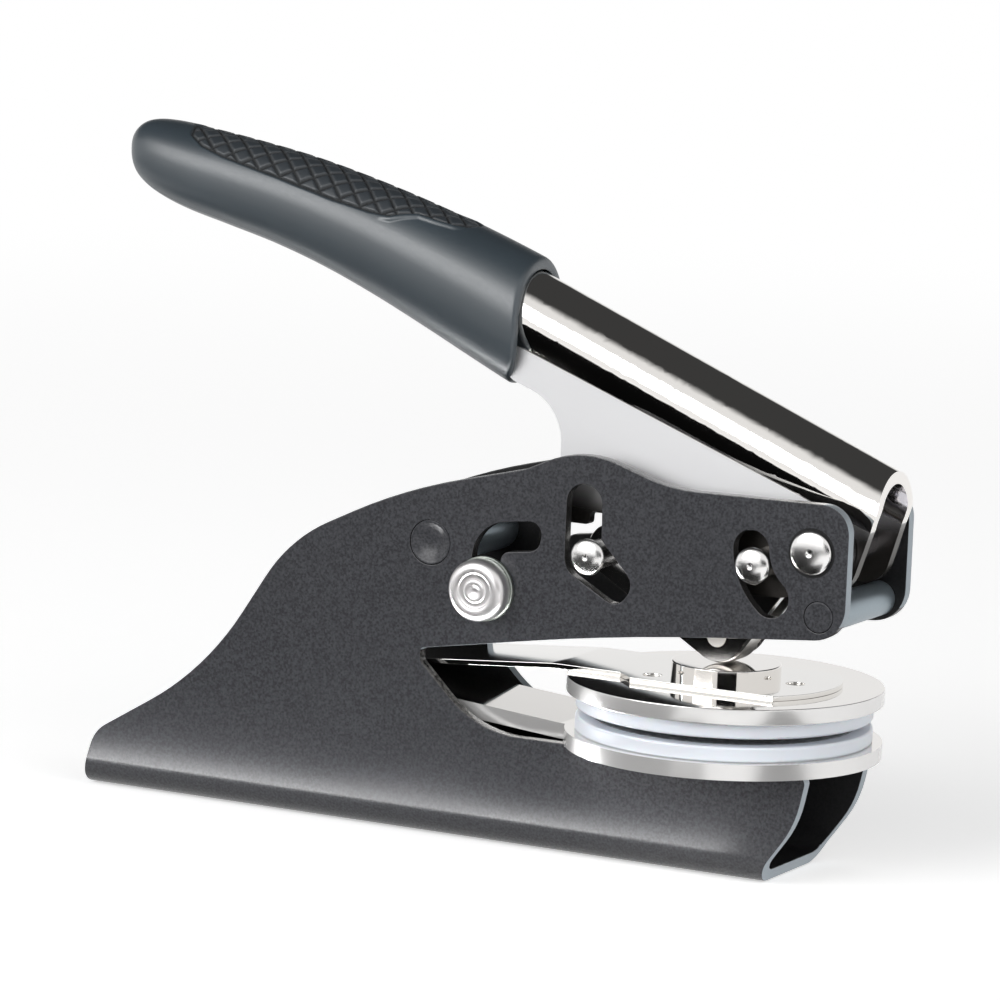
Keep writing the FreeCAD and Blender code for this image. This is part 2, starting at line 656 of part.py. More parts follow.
def make_cheek(label, side):
    """One link plate, on the near side (-1) or the far side (1) of the middle plane."""
    body = new_body(label)
    outline = hull_outline([
        (GUIDE_PIN, size("link_pin_radius") + size("guide_eye_wall")),
        (CHEEK_NOSE, size("cheek_nose_radius")),
        (LINK_PIN, size("link_pin_radius") + size("link_eye_wall")),
    ])
    sketch = add_sketch(
        body, "XZ_Plane", label + "_side", outline,
        circle(LINK_PIN.x, LINK_PIN.z, size("link_pin_radius") + size("running_clearance")),
        circle(GUIDE_PIN.x, GUIDE_PIN.z, size("link_pin_radius")),
        circle(NOSE.x, NOSE.z, NOSE_PIN_RADIUS),
    )
    add_pad(body, sketch, label + "_plate", "Sizes.cheek_thickness", middle=True)
    bind(body, Placement__Base__y="%d * (Sizes.cheek_inside + Sizes.cheek_thickness / 2)" % side)
    return body


def make_nose():
    """Round pressing nose between the cheeks."""
    half, radius = size("cheek_inside"), size("nose_radius")
    body = turned_crosswise("press_nose", "0", str(NOSE.z), [
        (NOSE_PIN_RADIUS, -half, 0), (radius, -half, 0.3), (radius, half, 0.3), (NOSE_PIN_RADIUS, half, 0)])
    return body


def make_sleeve(label, place_x, place_z, bore, radius, half):
    """A plain tube along Y."""
    return turned_crosswise(label, place_x, place_z, [
        (bore, -half, 0), (radius, -half, 0), (radius, half, 0), (bore, half, 0)])


# ---------------------------------------------------------------------------------------------
# Lever: a keyhole-shaped fold, wide open below, with a tang inside the rubber grip
# ---------------------------------------------------------------------------------------------
def keyhole_wire(name, x, pinch_depth, inset):
    """Cross-section of the lever at a place on its crown line, as a wire to loft between."""
    top = on_crown(x)
    radius = size("crown_radius")
    drop = pinch_depth - radius
    pinch = math.sqrt(radius ** 2 - drop ** 2)
    share = (x - KEYHOLE_REAR_X) / (KEYHOLE_FRONT_X - KEYHOLE_REAR_X)
    flared = pinch + size("web_flare") * share
    bore = radius - inset
    inner_drop = drop * bore / radius
    inner_pinch = math.sqrt(bore ** 2 - inner_drop ** 2)
    if inset > 0:
        flared -= inset
        inner_pinch = min(inner_pinch, pinch - inset)
        inner_drop = math.sqrt(bore ** 2 - inner_pinch ** 2)

    def at(across, down):
        return top + Vector(0, across, 0) - ACROSS_LEVER * down

    deep = WEB_DEPTH + inset
    left_pinch, right_pinch = at(-inner_pinch, radius + inner_drop), at(inner_pinch, radius + inner_drop)
    left_foot, right_foot = at(-flared, deep), at(flared, deep)
    edges = [
        Part.makeLine(left_foot, right_foot),
        Part.makeLine(right_foot, right_pinch),
        Part.Arc(right_pinch, at(0, inset), left_pinch).toShape(),
        Part.makeLine(left_pinch, left_foot),
    ]
    wire = doc.addObject("Part::Feature", name)
    wire.Shape = Part.Wire(edges)
    return wire


def web_half_width(place, further_down):
    """Outside half width of the lever at a place in its web, or a little further down it."""
    share = (place.x - KEYHOLE_REAR_X) / (KEYHOLE_FRONT_X - KEYHOLE_REAR_X)
    widths = []
    for pinch_depth in (size("rear_pinch_depth"), size("front_pinch_depth")):
        widths.append(math.sqrt(size("crown_radius") ** 2 - (pinch_depth - size("crown_radius")) ** 2))
    pinch = widths[0] + (widths[1] - widths[0]) * share
    crease = size("rear_pinch_depth") + (size("front_pinch_depth") - size("rear_pinch_depth")) * share
    depth = (LEVER_NOSE - place).dot(ACROSS_LEVER) + further_down
    return pinch + size("web_flare") * share * (depth - crease) / (WEB_DEPTH - crease)


def loft(name, sections, ruled=False):
    """A closed solid through wires."""
    item = doc.addObject("Part::Loft", name)
    item.Sections = sections
    item.Solid = True
    item.Ruled = ruled
    return item


KEYHOLE_FRONT_X = size("lever_nose_x") + 6
KEYHOLE_REAR_X = -52.0
WEB_DEPTH = 36.0
LIP_HEIGHT = 1.0


def lever_side_outline():
    """Side view of the lever: front end, lobes round the pins, recess over the guide pin, rear edge."""
    nose = LEVER_NOSE
    crown_rear = on_crown(KEYHOLE_REAR_X)
    pivot_floor = PIVOT.z - 6.7
    pin_floor = LINK_PIN.z - 5.4
    over_pin = GUIDE_PIN.z + size("link_pin_radius") + 4.1
    recess = GUIDE_PIN.z + 8.9
    rear_edge = GUIDE_PIN.x - 8.6
    finger_front = GUIDE_PIN.x - 2.9
    notch_inside = LOCKED.x + 3.3
    lip_tip = LOCKED.x + 0.7
    lip_bottom = LOCK_CENTRE.z + size("lock_travel_radius") + size("lock_shaft_radius") + 0.2
    lip_top = lip_bottom + LIP_HEIGHT
    return rounded_outline([
        (nose.x + 0.5, nose.z + 12, 0),
        (nose.x + 0.3, nose.z - 5.9, 5),
        (PIVOT.x + 4.1, pivot_floor, 4.5),
        (PIVOT.x - 2.5, pivot_floor, 4),
        (LINK_PIN.x + 3.0, pin_floor, 4),
        (LINK_PIN.x - 6.5, pin_floor, 5),
        (LINK_PIN.x - 7.6, LINK_PIN.z + 3.0, 4),
        (GUIDE_PIN.x + 4.0, over_pin, 2),
        (finger_front, over_pin, 1.2),
        (finger_front, lip_bottom, 0.6),
        (lip_tip, lip_bottom, 0.3),
        (lip_tip, lip_top, 0.3),
        (notch_inside, lip_top, 0.6),
        (notch_inside, recess + 0.9, 1.0),
        (rear_edge, recess + 3.4, 1.5),
        (rear_edge, recess + 13.2, 8.6),
        (-36.4, GUIDE_PIN.z + 25.4, 3),
        (-41.0, GUIDE_PIN.z + 29.2, 4),
        (KEYHOLE_REAR_X, crown_rear.z - 13.5, 0),
        (KEYHOLE_REAR_X, crown_rear.z + 12, 0),
    ])


# Stations of the grip: x and z of the top, x and z of the bottom, share of the half width
GRIP_STATIONS = [
    (-29.0, 90.1, -34.0, 70.6, 1.0),
    (-38.0, 93.7, -43.6, 75.1, 0.985),
    (-47.5, 97.1, -53.4, 79.8, 0.965),
    (-57.5, 100.3, -63.0, 84.2, 0.94),
    (-67.5, 103.1, -72.4, 88.0, 0.915),
    (-77.5, 105.5, -81.6, 91.0, 0.885),
    (-87.5, 107.3, -90.6, 93.3, 0.85),
    (-97.0, 108.7, -98.6, 95.3, 0.80),
    (-103.5, 109.4, -104.3, 97.4, 0.72),
    (-107.4, 109.2, -107.8, 99.6, 0.59),
    (-109.5, 107.9, -109.6, 101.9, 0.38),
    (-110.4, 105.9, -110.4, 103.7, 0.13),
]
SECTION_POINTS = 24
UPPER_ROUNDNESS = 2.15
LOWER_ROUNDNESS = 2.9


def handle_section(name, station, inset):
    """A closed smooth section of the grip or tang: rounder above, squarer below."""
    top_x, top_z, bottom_x, bottom_z, share = station
    shift = size("grip_tail_x") - GRIP_STATIONS[-1][0]
    span = (top_x - GRIP_STATIONS[0][0]) / (GRIP_STATIONS[-1][0] - GRIP_STATIONS[0][0])
    top = Vector(top_x + shift * span, 0, top_z)
    bottom = Vector(bottom_x + shift * span, 0, bottom_z)
    middle, up = (top + bottom) / 2, (top - bottom) / 2
    half_height = up.Length - inset
    half_width = size("grip_half_width") * share - inset
    up.normalize()
    points = []
    for index in range(SECTION_POINTS):
        turn = 2 * math.pi * index / SECTION_POINTS
        roundness = UPPER_ROUNDNESS if math.sin(turn) >= 0 else LOWER_ROUNDNESS
        across = math.copysign(abs(math.cos(turn)) ** (2 / roundness), math.cos(turn))
        height = math.copysign(abs(math.sin(turn)) ** (2 / roundness), math.sin(turn))
        points.append(middle + Vector(0, across * half_width, 0) + up * (height * half_height))
    curve = Part.BSplineCurve()
    curve.interpolate(points, PeriodicFlag=True)
    wire = doc.addObject("Part::Feature", name)
    wire.Shape = Part.Wire([curve.toShape()])
    return wire


def make_handle():
    """The folded lever with its tang, and the rubber grip that fits over them."""
    wall = size("lever_wall")
    pinch_rear, pinch_front = size("rear_pinch_depth"), size("front_pinch_depth")
    fold = loft("lever_fold", [
        keyhole_wire("lever_rear_section", KEYHOLE_REAR_X, pinch_rear, 0),
        keyhole_wire("lever_front_section", KEYHOLE_FRONT_X, pinch_front, 0)], ruled=True)
    hollow = loft("lever_hollow", [
        keyhole_wire("hollow_rear_section", KEYHOLE_REAR_X - 0.5, pinch_rear, wall),
        keyhole_wire("hollow_front_section", KEYHOLE_FRONT_X + 1, pinch_front, wall)], ruled=True)
    side = new_body("lever_side")
    add_pad(side, add_sketch(side, "XZ_Plane", "lever_side_sketch", lever_side_outline()), "lever_side_pad",
            "2 * Sizes.frame_half_width", middle=True)
    trimmed = doc.addObject("Part::MultiCommon", "lever_trimmed")
    trimmed.Shapes = [fold, side]

    inset = size("tang_wall_inset")
    tang = loft("tang_outside", [handle_section("tang_outside_%d" % index, station, inset)
                                 for index, station in enumerate(GRIP_STATIONS[1:-3])])
    tang_hollow = loft("tang_inside", [handle_section("tang_inside_%d" % index, station, inset + wall)
                                       for index, station in enumerate(GRIP_STATIONS[1:-4])])
    filled = doc.addObject("Part::MultiFuse", "lever_filled")
    filled.Shapes = [trimmed, tang]
    pivot_hole = rod("lever_pivot_hole", size("bush_radius"), 2 * PLATE_OUT, PIVOT)
    pin_hole = rod("lever_pin_hole", size("link_pin_radius"), 2 * PLATE_OUT, LINK_PIN)
    lever = cut_from("lever", filled, hollow, tang_hollow, pivot_hole, pin_hole)

    grip_outside = loft("grip_outside", [handle_section("grip_outside_%d" % index, station, 0)
                                         for index, station in enumerate(GRIP_STATIONS)])
    rim, corner_z = size("grip_rim_x"), 77.5
    behind_rim = new_body("grip_side")
    far_behind = size("grip_tail_x") - 10
    add_pad(behind_rim, add_sketch(behind_rim, "XZ_Plane", "grip_side_sketch", rounded_outline([
        (rim, 120, 0), (rim, corner_z, 4), (rim - 5, corner_z - 10, 0), (far_behind, corner_z - 10, 0),
        (far_behind, 120, 0)])), "grip_side_pad", "2 * Sizes.frame_half_width", middle=True)
    grip_trimmed = doc.addObject("Part::MultiCommon", "grip_trimmed")
    grip_trimmed.Shapes = [grip_outside, behind_rim]
    grip = cut_from("grip", grip_trimmed, filled)
    return lever, grip


# ---------------------------------------------------------------------------------------------
# Lock: a shaft across the plates with a knob and a washer at each end
# ---------------------------------------------------------------------------------------------
WASHER_FROM = PLATE_OUT + size("head_gap")
KNOB_FROM = WASHER_FROM + size("lock_washer_height")


def make_knob(label, side):
    """A dished knob with a stepped face, turned to the near side (-1) or the far side (1)."""
    radius, shaft = size("knob_radius"), size("lock_shaft_radius")
    near, far = KNOB_FROM, KNOB_FROM + size("knob_height")
    corners = [
        (shaft, near, 0), (radius, near, 0.3), (radius, far - 1.0, 0.4), (radius - 1.1, far - 0.35, 0.4),
        (radius * 0.62, far - 0.35, 0.1), (radius * 0.5, far, 0.2), (shaft, far, 0)]
    corners = [(r, side * y, rounding) for r, y, rounding in corners]
    return turned_crosswise(label, "Sizes.lock_x", "Sizes.lock_z", corners)


def make_lock():
    """Lock shaft, washers and knobs."""
    shaft_radius = size("lock_shaft_radius")
    reach = KNOB_FROM + size("knob_height") - 0.5
    shaft = turned_crosswise("lock_shaft", "Sizes.lock_x", "Sizes.lock_z", [
        (0, -reach, 0), (shaft_radius, -reach, 0.4), (shaft_radius, reach, 0.4), (0, reach, 0)])
    washers = []
    for side, name in ((-1, "lock_washer_near"), (1, "lock_washer_far")):
        washers.append(turned_crosswise(name, "Sizes.lock_x", "Sizes.lock_z", [
            (shaft_radius, side * WASHER_FROM, 0), (size("lock_washer_radius"), side * WASHER_FROM, 0),
            (size("lock_washer_radius"), side * KNOB_FROM, 0), (shaft_radius, side * KNOB_FROM, 0)]))
    return [shaft, make_knob("near_lock_knob", -1), make_knob("far_lock_knob", 1),
            group_of("lock_washers", *washers)]


# ---------------------------------------------------------------------------------------------
# The assembly
# ---------------------------------------------------------------------------------------------
LINK_PIN_X, LINK_PIN_Z = repr(LINK_PIN.x), repr(LINK_PIN.z)
parts = [
    make_frame(),
    headed_pin("front_pivot_pin", "Sizes.pivot_x", "Sizes.pivot_z", size("pivot_pin_radius"),
               size("pivot_head_radius"), PLATE_OUT),
    make_tie("front_tie", "Sizes.front_tie_x", "Sizes.front_tie_z", size("front_tie_radius")),
    make_tie("rear_tie", "Sizes.rear_tie_x", "Sizes.rear_tie_z", size("rear_tie_radius")),
    make_clip_holder(),
    make_lower_arm(),
    make_ring("lower_die_ring", LOWER_DISC_TOP, LOWER_RING_TOP),
    make_die("lower_die", LOWER_DISC_TOP, LOWER_RING_TOP),
    make_root_spacer(),
    make_root_rivets(),
    make_spring_arm(),
    make_upper_disc(),
    make_ring("upper_die_ring", UPPER_RING_BOTTOM, UPPER_DISC_BOTTOM),
    make_die("upper_die", UPPER_RING_BOTTOM, UPPER_DISC_BOTTOM),
    make_disc_rivets(),
    make_button(),
    make_cheek("near_link_plate", -1),
    make_cheek("far_link_plate", 1),
    make_nose(),
    make_sleeve("nose_pin", "0", repr(NOSE.z), 0, NOSE_PIN_RADIUS,
                size("cheek_inside") + size("cheek_thickness")),
    headed_pin("guide_pin", "Sizes.guide_pin_x", "Sizes.guide_pin_z", size("link_pin_radius"),
               size("link_head_radius"), MOVING_HEAD_Y),
    make_sleeve("guide_spacer", "Sizes.guide_pin_x", "Sizes.guide_pin_z", size("link_pin_radius"),
                size("link_pin_radius") + 1.0, size("cheek_inside")),
    headed_pin("link_pin", LINK_PIN_X, LINK_PIN_Z, size("link_pin_radius"), size("link_head_radius"),
               MOVING_HEAD_Y),
    make_sleeve("pivot_bush", "Sizes.pivot_x", "Sizes.pivot_z",
                size("pivot_pin_radius") + size("running_clearance"), size("bush_radius"),
                PLATE_IN - size("side_play")),
]
spacer_rim = PIVOT + Vector(size("spacer_radius"), 0, 0)
washer_from = web_half_width(spacer_rim, size("spacer_radius")) + size("side_play")
spacers = []
for side, name in ((-1, "pivot_washer_near"), (1, "pivot_washer_far")):
    near, far = side * washer_from, side * (PLATE_IN - size("side_play"))
    spacers.append(turned_crosswise(name, "Sizes.pivot_x", "Sizes.pivot_z", [
        (size("bush_radius"), near, 0), (size("spacer_radius"), near, 0.2), (size("spacer_radius"), far, 0.2),
        (size("bush_radius"), far, 0)]))
parts.append(group_of("pivot_washers", *spacers))
parts.extend(make_handle())
parts.extend(make_lock())

doc.recompute()
for item in doc.Objects:
    if "Invalid" in item.State or "Error" in item.State:
        raise RuntimeError("%s did not recompute: %s" % (item.Label, item.State))
for part in parts:
    if part.Shape.isNull() or not part.Shape.isValid() or not part.Shape.Solids:
        raise RuntimeError("%s has no valid solid" % part.Label)

os.makedirs("parts", exist_ok=True)
for part in parts:
    part.Shape.exportStep("parts/%s.step" % part.Label)
    print("%-18s %2d solid(s) %9.1f mm3" % (part.Label, len(part.Shape.Solids), part.Shape.Volume))
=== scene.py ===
"""Dresses the hand seal embosser: fine shapes, finishes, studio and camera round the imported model.

Places and sizes are in metres in the model's own frame: +X towards the open jaw, +Z up,
and -Y towards the near side plate.
"""
import logging
import math
from contextlib import contextmanager
from dataclasses import dataclass, field
from enum import Enum, IntEnum
from typing import Any, Callable, Iterator, Optional

import bpy
from mathutils import Matrix, Vector


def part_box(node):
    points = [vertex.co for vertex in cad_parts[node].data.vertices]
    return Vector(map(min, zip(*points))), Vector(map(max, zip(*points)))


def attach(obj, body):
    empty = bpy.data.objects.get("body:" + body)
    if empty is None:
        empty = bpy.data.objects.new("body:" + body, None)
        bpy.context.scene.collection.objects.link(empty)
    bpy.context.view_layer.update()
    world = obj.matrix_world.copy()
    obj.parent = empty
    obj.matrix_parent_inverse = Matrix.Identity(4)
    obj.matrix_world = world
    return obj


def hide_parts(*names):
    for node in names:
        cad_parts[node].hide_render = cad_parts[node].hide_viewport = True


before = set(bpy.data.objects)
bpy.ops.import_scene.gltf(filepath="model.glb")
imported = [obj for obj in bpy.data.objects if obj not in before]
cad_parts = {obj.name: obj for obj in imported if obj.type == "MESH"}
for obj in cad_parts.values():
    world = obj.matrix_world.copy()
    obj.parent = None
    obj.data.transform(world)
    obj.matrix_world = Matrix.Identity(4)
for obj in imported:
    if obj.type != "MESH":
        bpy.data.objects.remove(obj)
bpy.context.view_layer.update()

log = logging.getLogger("embosser")
MM = 0.001
Colour = tuple[float, float, float]
Face = bpy.types.MeshPolygon


class Body(Enum):
    """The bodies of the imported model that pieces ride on."""

    BASE = "base"
    LEVER = "lever_body"
    LINK = "press_link"
    UPPER_ARM = "upper_arm"
    LOCK = "lock_pin"


def grey(level: float) -> Colour:
    """A neutral colour, as linear light."""
    return (level, level, level)


def dimmed(colour: Colour, share: float) -> Colour:
    """A colour at a share of its light."""
    return tuple(part * share for part in colour)


# ---------------------------------------------------------------------------------------------
# Shader trees
# ---------------------------------------------------------------------------------------------
class Layout:
    """Adds and joins the nodes of one shader tree."""

    def __init__(self, tree: bpy.types.NodeTree) -> None:
        """Starts a layout on a tree that may already hold nodes."""
        self.tree = tree

    def node(self, kind: str, inputs: Optional[dict[Any, Any]] = None, **settings: Any) -> bpy.types.Node:
        """Adds a node.

        Args:
            kind: Blender's name for the kind of node.
            inputs: For each input, by name or number, a value or the socket that feeds it.
            settings: The node's own settings.

        Returns:
            The new node.
        """
        made = self.tree.nodes.new(kind)
        for name, value in settings.items():
            setattr(made, name, value)
        for name, value in (inputs or {}).items():
            self.feed(made.inputs[name], value)
        return made

    def feed(self, socket: bpy.types.NodeSocket, value: Any) -> None:
        """Gives an input a value, or links it to a socket.

        Args:
            socket: The input.
            value: A number, a colour or a vector, or the socket that feeds it.
        """
        if isinstance(value, bpy.types.NodeSocket):
            self.tree.links.new(value, socket)
        elif isinstance(value, tuple) and len(value) == 3 and socket.type == "RGBA":
            socket.default_value = (*value, 1.0)
        else:
            socket.default_value = value

    def math(self, operation: str, first: Any, second: Any = 0.0) -> bpy.types.NodeSocket:
        """The result of a Math node."""
        return self.node("ShaderNodeMath", {0: first, 1: second}, operation=operation).outputs[0]

    def dot(self, first: Any, second: Any) -> bpy.types.NodeSocket:
        """The dot product of two vectors."""
        made = self.node("ShaderNodeVectorMath", {0: first, 1: second}, operation="DOT_PRODUCT")
        return made.outputs["Value"]

    def mix(self, share: Any, first: Any, second: Any) -> bpy.types.NodeSocket:
        """A blend of two colours: all of the first at 0, all of the second at 1."""
        made = self.node("ShaderNodeMix", {0: share, 6: first, 7: second}, data_type="RGBA")
        return made.outputs[2]

    def map(self, value: Any, low: Any, high: Any, to_low: Any, to_high: Any,
            smooth: bool = False) -> bpy.types.NodeSocket:
        """A value moved from one range to another, and kept inside it.

        Args:
            value: The value to move.
            low: Start of its range.
            high: End of its range.
            to_low: What the start becomes.
            to_high: What the end becomes.
            smooth: Whether it eases in and out.

        Returns:
            The moved value.
        """
        made = self.node("ShaderNodeMapRange", {0: value, 1: low, 2: high, 3: to_low, 4: to_high},
                         interpolation_type="SMOOTHSTEP" if smooth else "LINEAR")
        return made.outputs[0]

    def place(self) -> bpy.types.NodeSocket:
        """The place on the piece."""
        return self.node("ShaderNodeTexCoord").outputs["Object"]

    def axis(self, vector: Any, name: str) -> bpy.types.NodeSocket:
        """One coordinate of a vector, by its name."""
        return self.node("ShaderNodeSeparateXYZ", {0: vector}).outputs[name]

    def noise(self, scale: Any, detail: float = 2.0) -> bpy.types.NodeSocket:
        """A soft random value over the surface, about 0.5."""
        made = self.node("ShaderNodeTexNoise", {"Vector": self.place(), "Scale": scale, "Detail": detail})
        return made.outputs[0]


class Effect(Enum):
    """Surface effects that more than one finish uses, each a node group."""

    GRAIN = "fine_grain"
    EDGE_WEAR = "edge_wear"
    SMUDGES = "smudges"


def new_group(effect: Effect, inputs: dict[str, float]) -> tuple[Layout, bpy.types.Node, bpy.types.Node]:
    """Starts a node group with float inputs and one float output called Value.

    Args:
        effect: The effect that the group holds.
        inputs: The inputs' names and first values.

    Returns:
        The layout, the node of the group's inputs and the node of its output.
    """
    tree = bpy.data.node_groups.new(effect.value, "ShaderNodeTree")
    for name, value in inputs.items():
        socket = tree.interface.new_socket(name, in_out="INPUT", socket_type="NodeSocketFloat")
        socket.default_value = value
    tree.interface.new_socket("Value", in_out="OUTPUT", socket_type="NodeSocketFloat")
    layout = Layout(tree)
    return layout, layout.node("NodeGroupInput"), layout.node("NodeGroupOutput")


def build_noise(effect: Effect, scale: float, detail: float, reach: float) -> None:
    """Builds an effect that wanders between a low and a high value.

    Args:
        effect: The effect to build.
        scale: First value of its scale.
        detail: Octaves of its noise.
        reach: How far from 0.5 the noise meets the low and the high value.
    """
    layout, given, out = new_group(effect, {"Scale": scale, "Low": 0.0, "High": 1.0})
    wander = layout.noise(given.outputs["Scale"], detail)
    low, high = given.outputs["Low"], given.outputs["High"]
    layout.feed(out.inputs["Value"], layout.map(wander, 0.5 - reach, 0.5 + reach, low, high))


def build_edge_wear() -> None:
    """A mask that is 1 along outer edges and corners, broken up by noise."""
    flat, edge_on = 0.995, 0.93
    patch_scale, patch_detail, least_wear = 900.0, 4.0, 0.15
    patch_low, patch_high = 0.38, 0.62
    layout, given, out = new_group(Effect.EDGE_WEAR, {"Radius": 0.3 * MM, "Amount": 1.0})
    rounded = layout.node("ShaderNodeBevel", {"Radius": given.outputs["Radius"]}, samples=4)
    true_normal = layout.node("ShaderNodeNewGeometry").outputs["Normal"]
    edge = layout.map(layout.dot(rounded.outputs[0], true_normal), flat, edge_on, 0.0, 1.0)
    patches = layout.map(layout.noise(patch_scale, patch_detail), patch_low, patch_high, least_wear, 1.0)
    worn = layout.math("MULTIPLY", layout.math("MULTIPLY", edge, patches), given.outputs["Amount"])
    layout.feed(out.inputs["Value"], worn)


def build_effects() -> None:
    """Builds the node groups that the finishes share."""
    build_noise(Effect.GRAIN, scale=2000.0, detail=3.0, reach=0.15)
    build_edge_wear()
    build_noise(Effect.SMUDGES, scale=60.0, detail=4.0, reach=0.20)


class Shading(Layout):
    """The tree of one material, with its Principled shader."""

    def __init__(self, name: str) -> None:
        """Starts a material with an empty tree.

        Args:
            name: The material's name.
        """
        self.material = bpy.data.materials.new(name)
        self.material.use_nodes = True
        super().__init__(self.material.node_tree)
        self.tree.nodes.clear()
        self.shader = self.node("ShaderNodeBsdfPrincipled")
        self.output = self.node("ShaderNodeOutputMaterial", {"Surface": self.shader.outputs[0]})

    def effect(self, effect: Effect, **inputs: Any) -> bpy.types.NodeSocket:
        """Places a shared effect with its own values.

        Args:
            effect: The effect to place.
            inputs: Values for the group's inputs, by name.

        Returns:
            The effect's output.
        """
        made = self.node("ShaderNodeGroup", node_tree=bpy.data.node_groups[effect.value])
        for name, value in inputs.items():
            self.feed(made.inputs[name], value)
        return made.outputs["Value"]

    def varied(self, effect: Effect, scale: float, middle: float, less: float,
               more: float) -> bpy.types.NodeSocket:
        """A value that an effect moves a little below and above a middle.

        Args:
            effect: The effect that moves it.
            scale: The effect's scale.
            middle: The middle.
            less: How far it goes below.
            more: How far it goes above.

        Returns:
            The moving value.
        """
        return self.effect(effect, Scale=scale, Low=middle - less, High=middle + more)

    def clouded(self, colour: Colour, scale: float, share: float) -> bpy.types.NodeSocket:
        """A colour with slow clouds, in which it keeps a share of its light."""
        return self.mix(self.effect(Effect.SMUDGES, Scale=scale), colour, dimmed(colour, share))

    def bump(self, scale: float, depth: float) -> bpy.types.NodeSocket:
        """A normal that follows noise of a scale, with a depth in metres."""
        return self.node("ShaderNodeBump", {"Height": self.noise(scale), "Distance": depth}).outputs[0]

    def set(self, **inputs: Any) -> None:
        """Sets the shader's inputs; an underscore stands for a space."""
        for name, value in inputs.items():
            self.feed(self.shader.inputs[name.replace("_", " ")], value)


# ---------------------------------------------------------------------------------------------
# Finishes
# ---------------------------------------------------------------------------------------------
@dataclass(frozen=True)
class Finish:
    """A finish that a piece can wear. Its material is made once."""

    name: str

    def shade(self, shading: Shading) -> None:
        """Fills in the material's tree."""
        raise NotImplementedError

    def material(self) -> bpy.types.Material:
        """The finish's material, made at its first use.

        Returns:
            The material.
        """
        made = bpy.data.materials.get(self.name)
        if made is None:
            shading = Shading(self.name)
            self.shade(shading)
            made = shading.material
        return made


@dataclass(frozen=True)
class PowderCoat(Finish):
    """Baked paint with a fine pebbled skin, speckled with lighter and darker specks."""

    colour: Colour = (0.056, 0.057, 0.063)
    speck: float = 0.30
    speck_scale: float = 2600.0
    worn: Colour = (0.09, 0.09, 0.10)
    wear: float = 0.5
    wear_width: float = 0.4 * MM
    peel_scale: float = 2600.0
    peel_depth: float = 0.0035 * MM
    roughness: float = 0.24
    smoother: float = 0.02
    rougher: float = 0.03
    smudge_scale: float = 45.0
    gloss: float = 0.30

    def shade(self, shading: Shading) -> None:
        """Speckled base, faint edge wear and a fine peel.

        Args:
            shading: The tree to fill in.
        """
        wear = shading.effect(Effect.EDGE_WEAR, Radius=self.wear_width, Amount=self.wear)
        speckle = shading.effect(Effect.GRAIN, Scale=self.speck_scale, Low=0.0, High=1.0)
        coat = shading.mix(speckle, dimmed(self.colour, 1 - self.speck), dimmed(self.colour, 1 + self.speck))
        smudge = shading.varied(Effect.SMUDGES, self.smudge_scale, self.roughness, self.smoother,
                                self.rougher)
        shading.set(Base_Color=shading.mix(wear, coat, self.worn), Roughness=smudge,
                    Normal=shading.bump(self.peel_scale, self.peel_depth), Specular_IOR_Level=self.gloss)


@dataclass(frozen=True)
class Metal(Finish):
    """Plated or bare metal, from mirror-bright to satin."""

    colour: Colour = (0.88, 0.855, 0.825)
    roughness: float = 0.05
    spread: float = 0.02
    metallic: float = 1.0
    smudge_scale: float = 80.0
    grain_scale: float = 3500.0
    cloud_scale: float = 25.0
    cloud_share: float = 0.95

    def shade(self, shading: Shading) -> None:
        """Faint clouds in the colour, smudges and a fine grain in the polish.

        Args:
            shading: The tree to fill in.
        """
        smudge = shading.varied(Effect.SMUDGES, self.smudge_scale, self.roughness, 0.0, self.spread)
        fine = shading.varied(Effect.GRAIN, self.grain_scale, 0.0, 0.5 * self.spread, 0.5 * self.spread)
        shading.set(Base_Color=shading.clouded(self.colour, self.cloud_scale, self.cloud_share),
                    Metallic=self.metallic, Roughness=shading.math("ADD", smudge, fine))


